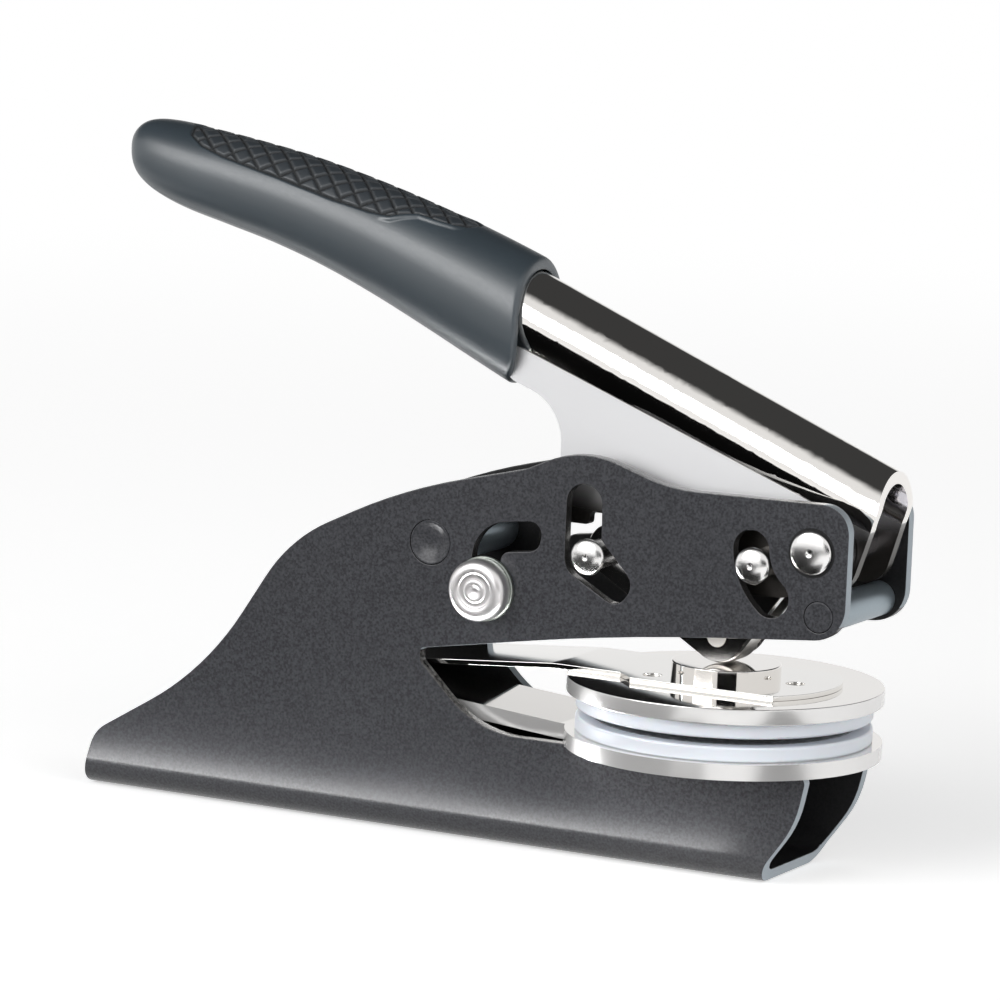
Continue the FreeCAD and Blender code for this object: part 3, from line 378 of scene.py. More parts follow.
@dataclass(frozen=True)
class LeverPlate(Finish):
    """The lever's plating: mirror-bright on the round crown, softer on the flat webs under its crease."""

    bright: Colour = (0.90, 0.875, 0.845)
    satin: Colour = (0.78, 0.78, 0.79)
    polish: float = 0.06
    matt: float = 0.50
    smudge_scale: float = 70.0
    smoother: float = 0.01
    rougher: float = 0.02
    satin_metallic: float = 0.75
    slope: float = math.radians(22.1)
    nose: tuple[float, float, float] = (27.0 * MM, 0.0, 65.2 * MM)
    # Painted shade: a dark colour on the web's foot, low inside the frame where the plates shade it, made
    # glossier there too
    painted_shade: Colour = (0.06, 0.055, 0.05)
    painted_shade_z: tuple[float, float] = (54.0 * MM, 60.0 * MM)
    painted_shade_polish: float = 0.25
    front_x: float = 33.0 * MM
    rear_x: float = -52.0 * MM
    front_crease: float = 8.3 * MM
    rear_crease: float = 11.3 * MM
    crease: tuple[float, float] = (-0.1 * MM, 0.25 * MM)

    def shade(self, shading: Shading) -> None:
        """Finds the crease under the crown line, changes the finish there and paints shade on the web's foot
        low in the frame.

        Args:
            shading: The tree to fill in.
        """
        place = shading.place()
        down = (-math.sin(self.slope), 0.0, -math.cos(self.slope))
        nose_down = down[0] * self.nose[0] + down[2] * self.nose[2]
        depth = shading.math("SUBTRACT", shading.dot(place, down), nose_down)
        crease = shading.map(shading.axis(place, "X"), self.rear_x, self.front_x,
                             self.rear_crease, self.front_crease)
        web = shading.map(shading.math("SUBTRACT", depth, crease), *self.crease, 0.0, 1.0)
        smudge = shading.varied(Effect.SMUDGES, self.smudge_scale, 0.0, self.smoother, self.rougher)
        rough = shading.math("ADD", shading.map(web, 0.0, 1.0, self.polish, self.matt), smudge)
        # Painted shade on the web's foot, fading out upwards
        foot = shading.map(shading.axis(place, "Z"), *self.painted_shade_z, 1.0, 0.0, smooth=True)
        painted_shade_share = shading.math("MULTIPLY", web, foot)
        slick = shading.math("MULTIPLY", painted_shade_share, self.painted_shade_polish)
        shading.set(Base_Color=shading.mix(painted_shade_share, shading.mix(web, self.bright, self.satin), self.painted_shade),
                    Roughness=shading.math("SUBTRACT", rough, slick),
                    Metallic=shading.map(web, 0.0, 1.0, 1.0, self.satin_metallic))


@dataclass(frozen=True)
class Plastic(Finish):
    """Moulded plastic with a fine mould grain."""

    colour: Colour = (0.76, 0.80, 0.87)
    cloud_scale: float = 70.0
    cloud_share: float = 0.92
    roughness: float = 0.34
    smoother: float = 0.05
    rougher: float = 0.08
    rough_scale: float = 2500.0
    grain_scale: float = 4200.0
    grain_depth: float = 0.006 * MM
    glow: float = 0.0
    glow_reach: float = 2.0 * MM

    def shade(self, shading: Shading) -> None:
        """Slightly clouded colour, mould grain and, if asked, light passing just under the skin.

        Args:
            shading: The tree to fill in.
        """
        rough = shading.varied(Effect.GRAIN, self.rough_scale, self.roughness, self.smoother, self.rougher)
        shading.set(Base_Color=shading.clouded(self.colour, self.cloud_scale, self.cloud_share),
                    Roughness=rough, Normal=shading.bump(self.grain_scale, self.grain_depth),
                    Subsurface_Weight=self.glow, Subsurface_Scale=self.glow_reach)


@dataclass(frozen=True)
class DieFace(Finish):
    """Nickelled die seen edge on: mottled silver."""

    light: Colour = (0.70, 0.72, 0.74)
    dark: Colour = (0.30, 0.31, 0.33)
    blotch_scale: float = 700.0
    metallic: float = 0.6
    smooth: float = 0.3
    rough: float = 0.5
    rough_scale: float = 2200.0
    pit_scale: float = 1500.0
    pit_depth: float = 0.04 * MM

    def shade(self, shading: Shading) -> None:
        """Blotches of bright and dull metal.

        Args:
            shading: The tree to fill in.
        """
        blotch = shading.effect(Effect.SMUDGES, Scale=self.blotch_scale)
        rough = shading.effect(Effect.GRAIN, Scale=self.rough_scale, Low=self.smooth, High=self.rough)
        shading.set(Base_Color=shading.mix(blotch, self.dark, self.light), Metallic=self.metallic,
                    Roughness=rough, Normal=shading.bump(self.pit_scale, self.pit_depth))


@dataclass(frozen=True)
class Rubber(Finish):
    """Soft-touch rubber: smooth with a broad sheen, duller and darker on the cross-cut panel, with painted
    shade in its grooves.
    """

    colour: Colour = (0.040, 0.055, 0.067)
    panel: Colour = (0.027, 0.034, 0.041)
    # Painted shade: near black in the grooves, where shade falls
    groove: Colour = (0.004, 0.005, 0.006)
    cloud_scale: float = 90.0
    cloud_share: float = 0.90
    roughness: float = 0.37
    smoother: float = 0.03
    rougher: float = 0.04
    rough_scale: float = 3000.0
    panel_rougher: float = 0.12
    groove_rougher: float = 0.6
    pit_scale: float = 3800.0
    pit_depth: float = 0.0015 * MM
    index: float = 1.85

    def shade(self, shading: Shading) -> None:
        """Cloudy colour, grooves painted near black as painted shade by the piece's own attributes, fine
        pits.

        Args:
            shading: The tree to fill in.
        """
        cut = shading.node("ShaderNodeAttribute", attribute_name="groove").outputs["Fac"]
        panel = shading.node("ShaderNodeAttribute", attribute_name="panel").outputs["Fac"]
        skin = shading.clouded(self.colour, self.cloud_scale, self.cloud_share)
        tread = shading.mix(panel, skin, self.panel)
        rough = shading.varied(Effect.GRAIN, self.rough_scale, self.roughness, self.smoother, self.rougher)
        duller = shading.map(cut, 0.0, 1.0, shading.math("MULTIPLY", panel, self.panel_rougher),
                             self.groove_rougher)
        shading.set(Base_Color=shading.mix(cut, tread, self.groove), IOR=self.index,
                    Roughness=shading.math("ADD", rough, duller),
                    Normal=shading.bump(self.pit_scale, self.pit_depth))


COAT = PowderCoat("charcoal_powder_coat")
# Painted shade: the coat made near black, for the frame's inside and the ring round the pivot pin's heads
COAT_PAINTED_SHADE = PowderCoat("charcoal_coat_painted_shade", colour=(0.010, 0.010, 0.011), wear=0.0, roughness=0.5)
# Painted shade: the slot walls painted darker than the coat, as shade inside the slots
SLOT_COAT_PAINTED_SHADE = PowderCoat("charcoal_coat_painted_shade_in_slots", colour=(0.022, 0.021, 0.021), worn=(0.06, 0.055, 0.05))
THROAT_EDGE = PowderCoat("mottled_throat_edge", colour=(0.07, 0.068, 0.065), speck=0.8, speck_scale=1500.0)
CUT_EDGE = Metal("cut_edge_steel", colour=(0.38, 0.43, 0.47), roughness=0.42, spread=0.08, metallic=0.5)
TOP_EDGE = PowderCoat("painted_top_edge", colour=(0.040, 0.040, 0.042), worn=(0.42, 0.43, 0.44), wear=1.0)
NICKEL = Metal("mirror_nickel")
RIM_NICKEL = Metal("turned_nickel", colour=(0.88, 0.87, 0.86), roughness=0.20, spread=0.03, metallic=0.6)
PIN_NICKEL = Metal("domed_nickel", colour=(0.93, 0.92, 0.91), roughness=0.20, spread=0.03)
KNOB_NICKEL = Metal("satin_knob", colour=(0.93, 0.91, 0.91), roughness=0.33, spread=0.03, metallic=0.92)
LINK_NICKEL = Metal("polished_link_plate", colour=(0.74, 0.73, 0.72), roughness=0.09, spread=0.03)
SATIN_NICKEL = Metal("satin_nickel", colour=(0.84, 0.82, 0.79), roughness=0.33, spread=0.06)
LEVER_PLATE = LeverPlate("lever_nickel")
SPRING = Metal("bright_spring_steel", colour=(0.88, 0.865, 0.84), roughness=0.07)
ZINC = Metal("zinc_plate", colour=(0.80, 0.80, 0.88), roughness=0.14, spread=0.06)
TIE = Metal("turned_tie_steel", colour=(0.34, 0.40, 0.44), roughness=0.34, spread=0.08, metallic=0.8)
WASHER = Metal("washer_plate", colour=(0.46, 0.50, 0.46), roughness=0.35, spread=0.08)
WHITE_PLASTIC = Plastic("moulded_white_plastic", colour=(0.86, 0.90, 0.97), glow=0.1)
DIE_METAL = DieFace("die_metal")
HOLDER_PLASTIC = Plastic("moulded_black_plastic", colour=(0.02, 0.02, 0.022), roughness=0.38)
GRIP_RUBBER = Rubber("soft_touch_rubber")


# ---------------------------------------------------------------------------------------------
# Modelling
# ---------------------------------------------------------------------------------------------
Profile = list[tuple[float, float]]
FINE = "_fine"
POLE = 0.02 * MM
SLIGHT = 0.01 * MM
ACROSS = Vector((0, 1, 0))
MERGE_WITHIN = 0.002 * MM
FLAT_WITHIN = math.radians(0.4)
GENTLE_EDGE = math.radians(38.0)
GENTLE_TURNED_EDGE = math.radians(40.0)


def select_only(piece: bpy.types.Object) -> None:
    """Selects one object, makes it active and deselects the rest.

    Args:
        piece: The object to select.
    """
    bpy.ops.object.select_all(action="DESELECT")
    piece.select_set(True)
    bpy.context.view_layer.objects.active = piece


@contextmanager
def editing(piece: bpy.types.Object) -> Iterator[None]:
    """Edit mode on one piece, with all of its mesh selected at first.

    Args:
        piece: The piece to edit.
    """
    select_only(piece)
    bpy.ops.object.mode_set(mode="EDIT")
    bpy.ops.mesh.select_all(action="SELECT")
    yield
    bpy.ops.object.mode_set(mode="OBJECT")


def middle_of(node: str) -> Vector:
    """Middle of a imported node's box."""
    low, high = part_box(node)
    return (Vector(low) + Vector(high)) / 2


def radius_of(node: str) -> float:
    """Radius of a packed round node, as half its size along X."""
    low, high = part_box(node)
    return (high[0] - low[0]) / 2


def far_end_of(node: str) -> float:
    """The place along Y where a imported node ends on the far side."""
    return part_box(node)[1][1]


def copied(node: str) -> bpy.types.Object:
    """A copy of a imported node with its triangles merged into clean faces.

    Args:
        node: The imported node.

    Returns:
        The copy, named after the node.
    """
    select_only(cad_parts[node])
    bpy.ops.object.duplicate()
    piece = bpy.context.active_object
    piece.name = piece.data.name = node + FINE
    bpy.ops.mesh.customdata_custom_splitnormals_clear()
    with editing(piece):
        bpy.ops.mesh.remove_doubles(threshold=MERGE_WITHIN)
        bpy.ops.mesh.dissolve_limited(angle_limit=FLAT_WITHIN)
        bpy.ops.mesh.select_all(action="DESELECT")
    return piece


def even_shading(piece: bpy.types.Object) -> None:
    """Smooths a piece's gentle edges, with its large flat faces kept flat.

    Args:
        piece: The piece to smooth.
    """
    select_only(piece)
    bpy.ops.object.shade_smooth_by_angle(angle=GENTLE_EDGE)
    weighted = piece.modifiers.new("flat_faces_first", "WEIGHTED_NORMAL")
    weighted.keep_sharp = True
    weighted.weight = 100
    bpy.ops.object.modifier_apply(modifier=weighted.name)


def round_edges(piece: bpy.types.Object, width: float, segments: int = 2, above: float = 40.0) -> None:
    """Rounds a piece's sharp edges.

    Args:
        piece: The object to round.
        width: Width of the rounding in metres.
        segments: Faces across the rounding.
        above: Least angle between two faces, in degrees, for their edge to be rounded.
    """
    select_only(piece)
    bevel = piece.modifiers.new("rounding", "BEVEL")
    bevel.width = width
    bevel.segments = segments
    bevel.limit_method = "ANGLE"
    bevel.angle_limit = math.radians(above)
    bpy.ops.object.modifier_apply(modifier=bevel.name)


def wear(piece: bpy.types.Object, *finishes: Finish) -> None:
    """Gives an object the materials of its finishes, in order.

    Args:
        piece: The object to dress.
        finishes: What its faces may wear, the first at first.
    """
    piece.data.materials.clear()
    for finish in finishes:
        piece.data.materials.append(finish.material())


def paint_faces(piece: bpy.types.Object, index: int, chosen: Callable[[Face], bool]) -> None:
    """Gives the chosen faces of a piece the finish of a number.

    Args:
        piece: The piece.
        index: Number of the finish among those it wears.
        chosen: Tells whether a face is one of them.
    """
    for face in piece.data.polygons:
        if chosen(face):
            face.material_index = index


def dress_node(node: str, finish: Finish) -> None:
    """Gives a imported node, kept as it is, the material of a finish.

    Args:
        node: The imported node.
        finish: What it wears.
    """
    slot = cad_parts[node].material_slots[0]
    slot.link = "OBJECT"
    slot.material = finish.material()
    log.info("%s: kept as packed, wears %s", node, finish.name)


def hand_over(piece: bpy.types.Object, body: Body, *nodes: str) -> bpy.types.Object:
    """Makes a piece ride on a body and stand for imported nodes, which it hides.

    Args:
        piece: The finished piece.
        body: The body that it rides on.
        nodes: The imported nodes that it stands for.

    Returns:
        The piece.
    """
    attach(piece, body.value)
    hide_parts(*nodes)
    log.info("%s: %d faces, rides on %s", piece.name, len(piece.data.polygons), body.value)
    return piece


def softened(node: str, body: Body, finish: Finish, width: float, segments: int = 2) -> bpy.types.Object:
    """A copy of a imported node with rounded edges, which stands for it.

    Args:
        node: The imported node.
        body: The body that it rides on.
        finish: What it wears.
        width: Width of the rounding in metres.
        segments: Faces across the rounding.

    Returns:
        The new piece.
    """
    piece = copied(node)
    round_edges(piece, width, segments)
    even_shading(piece)
    wear(piece, finish)
    return hand_over(piece, body, node)


def mirrored(half: Profile) -> Profile:
    """A profile for both ends of a piece, from the outward half of it."""
    return [(radius, -along) for radius, along in reversed(half)] + half


@dataclass(frozen=True)
class Head:
    """A domed pin head with a small dimple in its middle."""

    dimple: float
    undercut: float = 0.06 * MM
    side: float = 0.08 * MM
    steps: int = 14
    clear_of_dimple: float = 1.25
    dimple_depth: float = 0.15 * MM
    # The dimple's rings: share of its radius, and depth under the top in millimetres
    dimple_rings: tuple[tuple[float, float], ...] = ((1.2, 0.01), (1.0, 0.04), (0.6, 0.13))

    def profile(self, radius: float, foot: float, height: float) -> Profile:
        """Profile of the head.

        Args:
            radius: Radius of the head.
            foot: Where its underside is, along the axis.
            height: Height of the dome.

        Returns:
            Points from the foot of the head to its middle.
        """
        points = [(radius - self.undercut, foot)]
        for step in range(self.steps):
            turn = math.pi / 2 * step / self.steps
            rim = radius * math.cos(turn)
            if rim > self.dimple * self.clear_of_dimple:
                points.append((rim, foot + self.side + (height - self.side) * math.sin(turn)))
        top = foot + height
        points += [(self.dimple * share, top - depth * MM) for share, depth in self.dimple_rings]
        return points + [(POLE, top - self.dimple_depth)]


def turned(name: str, centre: Vector, outward: Vector, profile: Profile, sides: int = 96) -> bpy.types.Object:
    """Pulls a disc along a profile round an axis, ring by ring, as on a lathe.

    Args:
        name: The piece's name.
        centre: A point on the axis.
        outward: Unit direction of the axis.
        profile: Radius and distance along the axis of each ring, from one end to the other.
        sides: Faces round the piece.

    Returns:
        The closed piece, its place in its mesh.
    """
    bpy.ops.object.select_all(action="DESELECT")
    radius, along = profile[0]
    bpy.ops.mesh.primitive_circle_add(
        vertices=sides, radius=radius, fill_type="NGON", location=centre + outward * along,
        rotation=outward.to_track_quat("Z", "Y").to_euler())
    piece = bpy.context.active_object
    piece.name = piece.data.name = name
    bpy.ops.object.transform_apply(location=True, rotation=True, scale=True)
    with editing(piece):
        for next_radius, next_along in profile[1:]:
            bpy.ops.mesh.extrude_region()
            if next_along != along:
                bpy.ops.transform.translate(value=outward * (next_along - along))
            if next_radius != radius:
                share = next_radius / radius
                middle = centre + outward * next_along
                bpy.ops.transform.resize(value=(share, share, share), center_override=middle)
            radius, along = next_radius, next_along
        bpy.ops.mesh.select_all(action="SELECT")
        bpy.ops.mesh.normals_make_consistent(inside=False)
    bpy.ops.object.shade_smooth_by_angle(angle=GENTLE_TURNED_EDGE)
    return piece


def turned_across(node: str, half: Profile) -> bpy.types.Object:
    """A piece turned about an axis across the frame, alike at both ends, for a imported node."""
    return turned(node + FINE, middle_of(node), ACROSS, mirrored(half))


# ---------------------------------------------------------------------------------------------
# Grip
# ---------------------------------------------------------------------------------------------
@dataclass
class GripSkin:
    """The grip's outer skin: sections between a top and a bottom line, rounder above than below."""

    half_width: float = 8.7
    upper_roundness: float = 2.15
    lower_roundness: float = 2.9
    rim_x: float = -35.2
    corner_z: float = 77.5
    corner_slope: float = 0.5
    corner_blend: float = 1.4
    rim_within: float = 2.5
    halvings: int = 22
    # x and z of the top, x and z of the bottom, share of the half width, all in millimetres
    stations: tuple[tuple[float, ...], ...] = (
        (-29.0, 90.1, -34.0, 70.6, 1.0), (-38.0, 93.7, -43.6, 75.1, 0.985),
        (-47.5, 97.1, -53.4, 79.8, 0.965), (-57.5, 100.3, -63.0, 84.2, 0.94),
        (-67.5, 103.1, -72.4, 88.0, 0.915), (-77.5, 105.5, -81.6, 91.0, 0.885),
        (-87.5, 107.3, -90.6, 93.3, 0.85), (-97.0, 108.7, -98.6, 95.3, 0.80),
        (-103.5, 109.4, -104.3, 97.4, 0.72), (-107.4, 109.2, -107.8, 99.6, 0.59),
        (-109.5, 107.9, -109.6, 101.9, 0.38), (-110.4, 105.9, -110.4, 103.7, 0.13))

    def between(self, place: float) -> tuple[float, ...]:
        """The station at a place between two numbered ones, on a smooth curve through them.

        Args:
            place: Place along the grip, in stations.

        Returns:
            The station's five values.
        """
        last = len(self.stations) - 1
        index = min(int(place), last - 1)
        share = place - index
        one, two = self.stations[index], self.stations[index + 1]
        before = self.stations[index - 1] if index else [2 * a - b for a, b in zip(one, two)]
        after = self.stations[index + 2] if index + 2 <= last else [2 * b - a for a, b in zip(one, two)]
        return tuple(0.5 * (2 * b + (c - a) * share + (2 * a - 5 * b + 4 * c - d) * share ** 2
                            + (3 * b - a - 3 * c + d) * share ** 3)
                     for a, b, c, d in zip(before, one, two, after))

    def point(self, place: float, turn: float, inset: float = 0.0) -> Vector:
        """A point on the skin, or under it.

        Args:
            place: Place along the grip, in stations.
            turn: Angle round the section: 0 on the far side, 90 degrees on top.
            inset: Distance under the skin in millimetres.

        Returns:
            The point in metres.
        """
        top_x, top_z, bottom_x, bottom_z, share = self.between(place)
        middle_x, middle_z = (top_x + bottom_x) / 2, (top_z + bottom_z) / 2
        up_x, up_z = (top_x - bottom_x) / 2, (top_z - bottom_z) / 2
        reach = math.hypot(up_x, up_z)
        roundness = self.upper_roundness if math.sin(turn) >= 0 else self.lower_roundness
        across = math.copysign(abs(math.cos(turn)) ** (2 / roundness), math.cos(turn))
        height = math.copysign(abs(math.sin(turn)) ** (2 / roundness), math.sin(turn))
        rise = height * (reach - inset) / reach
        half = self.half_width * share - inset
        return Vector((middle_x + up_x * rise, across * half, middle_z + up_z * rise)) * MM

    def rim_place(self, turn: float, inset: float, behind: float) -> float:
        """Place, in stations, where a line along the skin is some millimetres behind the rim.

        Args:
            turn: Angle of the line round the section.
            inset: Its distance under the skin in millimetres.
            behind: Distance behind the rim in millimetres.

        Returns:
            The place, found by halving.
        """
        low, high = 0.0, self.rim_within
        for _ in range(self.halvings):
            place = (low + high) / 2
            point = self.point(place, turn, inset) / MM
            drop = self.corner_z - point.z
            slant = self.corner_slope * (drop + math.hypot(drop, self.corner_blend)) / 2
            if point.x > self.rim_x - slant - behind:
                low = place
            else:
                high = place
        return place


@dataclass
class Grip:
    """The rubber grip: a closed sleeve with a cross-cut panel on its back.

    Its lengths are in millimetres, and its angles in degrees but for smooth_below.
    """

    skin: GripSkin = field(default_factory=GripSkin)
    wall: float = 1.45
    top_wall: float = 0.35
    rim_round: float = 0.8
    rim_steps: int = 5
    cavity_start: float = 1.0
    cavity_end: float = 8.2
    cavity_rings: int = 22
    pitch_along: float = 3.88
    pitch_round: float = 3.9
    groove_half: float = 0.48
    groove_depth: float = 0.42
    border_share: float = 0.8
    panel_sink: float = 0.10
    panel_blend: float = 0.3
    lip_height: float = 0.30
    lip_width: float = 1.2
    lip_from: float = 13.0
    lip_to: float = 27.5
    lip_ramp: float = 2.0
    parting_turn: float = 228.0
    parting_half: float = 1.2
    parting_within: float = 0.1
    parting_depth: float = 0.07
    parting_from: float = 4.0
    fine_half: float = 66.0
    fine_columns: int = 116
    coarse_turn: float = 5.0
    first_row: float = 0.5
    coarse_step: float = 0.8
    fine_step: float = 0.19
    fine_before: float = 1.4
    fine_after: float = 1.0
    fine_girth: float = 10.0
    tail_rows: int = 34
    line_samples: int = 400
    smooth_below: float = math.radians(75.0)
    seam_within: float = 0.0002
    # Inner corner of the rim: share of the wall under the skin, millimetres more, millimetres behind the rim
    rim_corner: tuple[tuple[float, float, float], ...] = (
        (1.0, 0.0, 1.0), (1.0, 0.0, 0.35), (1.0, -0.1, 0.1), (1.0, -0.3, 0.0))
    # Lower edge of the panel: distance behind the rim and girth down from the top line
    panel_edge: tuple[tuple[float, float], ...] = (
        (12.2, 0.0), (13.0, 2.4), (15.0, 3.7), (18.0, 4.3), (21.2, 4.7), (23.4, 5.9), (25.6, 7.3),
        (29.3, 8.0), (36.0, 8.4), (43.1, 8.2), (50.3, 7.7), (57.7, 7.0), (62.1, 6.0), (64.8, 4.2),
        (66.2, 0.0))

    def outside_edge(self, along: float, girth: float) -> float:
        """Distance from the panel's edge, below 0 inside the panel.

        Args:
            along: Distance behind the rim along the top line.
            girth: Distance round from the top line.

        Returns:
            The distance in millimetres.
        """
        girth = abs(girth)
        nearest, inside = 1e9, False
        for (a0, g0), (a1, g1) in zip(self.panel_edge, self.panel_edge[1:]):
            run, rise = a1 - a0, g1 - g0
            share = ((along - a0) * run + (girth - g0) * rise) / (run * run + rise * rise)
            share = min(1.0, max(0.0, share))
            nearest = min(nearest, math.hypot(along - a0 - share * run, girth - g0 - share * rise))
            if a0 <= along < a1 and girth < g0 + rise * (along - a0) / run:
                inside = True
        return -nearest if inside else nearest

    def relief(self, along: float, girth: float) -> tuple[float, float, float]:
        """The pattern at a place on the back.

        Args:
            along: Distance behind the rim along the top line.
            girth: Distance round from the top line.

        Returns:
            Depth in millimetres, share of groove and share of panel.
        """
        out = self.outside_edge(along, girth)
        panel = min(1.0, max(0.0, 0.5 - out / self.panel_blend))
        first = along / self.pitch_along + abs(girth) / self.pitch_round
        second = along / self.pitch_along - abs(girth) / self.pitch_round
        across = 1 / math.hypot(1 / self.pitch_along, 1 / self.pitch_round)
        nearest = min(abs(value - round(value)) for value in (first, second)) * across
        line = max(0.0, 1 - nearest / self.groove_half) * panel
        line = max(line, max(0.0, 1 - abs(out) / (self.border_share * self.groove_half)))
        line = line * line * (3 - 2 * line)
        depth = self.panel_sink * panel + self.groove_depth * line
        if 0 < out < self.lip_width and self.lip_from < along < self.lip_to:
            ends = min(1.0, (along - self.lip_from) / self.lip_ramp, (self.lip_to - along) / self.lip_ramp)
            depth -= self.lip_height * ends * math.sin(math.pi * out / self.lip_width)
        return depth, line, panel

    def partings(self) -> tuple[float, float]:
        """Angles of the two parting lines in degrees, mirrored about the bottom at 270."""
        return self.parting_turn, 540 - self.parting_turn

    def turns(self) -> list[float]:
        """Angles of the columns: fine over the panel, coarser below, close at the parting lines.

        Returns:
            The angles in radians, from the far side of the panel round.
        """
        start, end = 90 - self.fine_half, 90 + self.fine_half
        fine = [start + 2 * self.fine_half * index / self.fine_columns
                for index in range(self.fine_columns + 1)]
        coarse_count = int((360 - 2 * self.fine_half) / self.coarse_turn)
        below = [end + self.coarse_turn * index for index in range(1, coarse_count)]
        for parting in self.partings():
            below += [parting - self.parting_half, parting, parting + self.parting_half]
        return [math.radians(turn) for turn in fine + sorted(below)]

    def top_line(self) -> tuple[list[float], list[float]]:
        """Distances behind the rim along the top, and the places that they belong to.

        Returns:
            The distances in millimetres, and the places in stations.
        """
        start = self.skin.rim_place(math.pi / 2, 0, 0)
        end = len(self.skin.stations) - 1
        places = [start + (end - start) * index / self.line_samples
                  for index in range(self.line_samples + 1)]
        distances = [0.0]
        before = self.skin.point(places[0], math.pi / 2)
        for place in places[1:]:
            here = self.skin.point(place, math.pi / 2)
            distances.append(distances[-1] + (here - before).length / MM)
            before = here
        return distances, places

    def fine_span(self) -> tuple[float, float]:
        """Distances behind the rim between which the rows are fine, a little past the panel's ends."""
        return self.panel_edge[0][0] - self.fine_before, self.panel_edge[-1][0] + self.fine_after

    def rows(self, length: float) -> list[float]:
        """Distances of the rows behind the rim: fine over the panel, closer again at the tail.

        Args:
            length: Length of the top line.

        Returns:
            The distances, from the rim to the tail.
        """
        first, last = self.fine_span()
        rows, along = [], self.rim_round + self.first_row
        while along < first:
            rows.append(along)
            along += self.coarse_step
        along = first
        while along < last:
            rows.append(along)
            along += self.fine_step
        rows += [last + (length - last) * math.sin(math.pi / 2 * index / self.tail_rows)
                 for index in range(self.tail_rows + 1)]
        return rows

    def inner_rings(self, turns: list[float]) -> list[list[Vector]]:
        """Rings from the end of the cavity, along its wall and round the rim to the outer skin.

        Args:
            turns: Angles of the columns.

        Returns:
            The rings, in order.
        """
        skin = self.skin
        walls = [self.wall + self.top_wall * max(0.0, math.sin(turn)) ** 3 for turn in turns]
        starts = [skin.rim_place(turn, wall, self.cavity_start) for turn, wall in zip(turns, walls)]
        rings = []
        for index in range(self.cavity_rings):
            share = 1 - index / self.cavity_rings
            rings.append([skin.point(start + (self.cavity_end - start) * share, turn, wall)
                          for start, turn, wall in zip(starts, turns, walls)])
        lip = list(self.rim_corner)
        for step in range(self.rim_steps + 1):
            angle = math.pi / 2 * step / self.rim_steps
            lip.append((0.0, self.rim_round * (1 - math.sin(angle)), self.rim_round * (1 - math.cos(angle))))
        for share, more, behind in lip:
            insets = [wall * share + more for wall in walls]
            rings.append([skin.point(skin.rim_place(turn, inset, behind), turn, inset)
                          for turn, inset in zip(turns, insets)])
        return rings

    def rings(self, turns: list[float]) -> tuple[list[list[Vector]], list[float]]:
        """All rings of the sleeve, from the end of its cavity over the rim to the tail.

        Args:
            turns: Angles of the columns.

        Returns:
            The rings and, for each, its distance behind the rim, or -1 on the inside and the rim.
        """
        rings = self.inner_rings(turns)
        alongs = [-1.0] * len(rings)
        distances, places = self.top_line()
        starts = [self.skin.rim_place(turn, 0, 0) for turn in turns]
        end = len(self.skin.stations) - 1
        index = 0
        for along in self.rows(distances[-1]):
            while index < len(distances) - 2 and distances[index + 1] < along:
                index += 1
            part = (along - distances[index]) / (distances[index + 1] - distances[index])
            place = places[index] + (places[index + 1] - places[index]) * min(1.0, part)
            share = (place - places[0]) / (end - places[0])
            rings.append([self.skin.point(start + (end - start) * share, turn)
                          for start, turn in zip(starts, turns)])
            alongs.append(along)
        return rings, alongs

    def carved(self, rings: list[list[Vector]], alongs: list[float],
               turns: list[float]) -> tuple[list[Vector], list[float], list[float]]:
        """Cuts the pattern and the parting lines into the rings.

        Args:
            rings: The smooth sleeve.
            alongs: Each ring's distance behind the rim.
            turns: Angles of the columns.

        Returns:
            The points of the closed rings, one after the other, and each point's share of groove and panel.
        """
        count = len(turns)
        top = min(range(count), key=lambda column: abs(turns[column] - math.pi / 2))
        parting = [column for column, turn in enumerate(turns)
                   if min(abs(math.degrees(turn) - line) for line in self.partings()) < self.parting_within]
        first, last = self.fine_span()
        points, grooves, panels = [], [], []
        for row, (ring, along) in enumerate(zip(rings, alongs)):
            line, area = [0.0] * count, [0.0] * count
            shaped = list(ring)
            girths = self.girths(ring, top) if along > 0 else []
            for column, girth in enumerate(girths):
                depth = 0.0
                if abs(girth) < self.fine_girth and first < along < last:
                    depth, line[column], area[column] = self.relief(along, girth)
                elif column in parting and along > self.parting_from:
                    depth = self.parting_depth
                if depth:
                    shaped[column] = ring[column] - self.normal(rings, row, column, top) * depth * MM
            points += shaped + [shaped[0]]
            grooves += line + [line[0]]
            panels += area + [area[0]]
        return points, grooves, panels

    def build(self) -> bpy.types.Object:
        """Lays a grid over the rings, cuts the pattern and closes both ends.

        Returns:
            The finished grip, riding on the lever.
        """
        turns = self.turns()
        rings, alongs = self.rings(turns)
        bpy.ops.object.select_all(action="DESELECT")
        bpy.ops.mesh.primitive_grid_add(x_subdivisions=len(turns), y_subdivisions=len(rings) - 1, size=1)
        piece = bpy.context.active_object
        piece.name = piece.data.name = "rubber_grip"
        points, grooves, panels = self.carved(rings, alongs, turns)
        for vertex, point in zip(piece.data.vertices, points):
            vertex.co = point
        # The groove share later paints shade in the grooves
        for name, values in (("groove", grooves), ("panel", panels)):
            piece.data.attributes.new(name, "FLOAT", "POINT").data.foreach_set("value", values)
        self.close(piece)
        wear(piece, GRIP_RUBBER)
        return hand_over(piece, Body.LEVER, "grip")

    @staticmethod
    def normal(rings: list[list[Vector]], row: int, column: int, top: int) -> Vector:
        """Direction out of the skin at a point of a ring, with top the ring's highest column.

        Args:
            rings: The smooth sleeve.
            row: The ring's number.
            column: The point's number on it.
            top: Number of the highest point.

        Returns:
            The unit direction.
        """
        ring = rings[row]
        count = len(ring)
        ahead = rings[min(row + 1, len(rings) - 1)][column] - rings[row - 1][column]
        beside = ring[(column + 1) % count] - ring[column - 1]
        normal = beside.cross(ahead).normalized()
        middle = (ring[top] + ring[(top + count // 2) % count]) / 2
        if normal.dot(ring[column] - middle) < 0:
            normal.negate()
        return normal

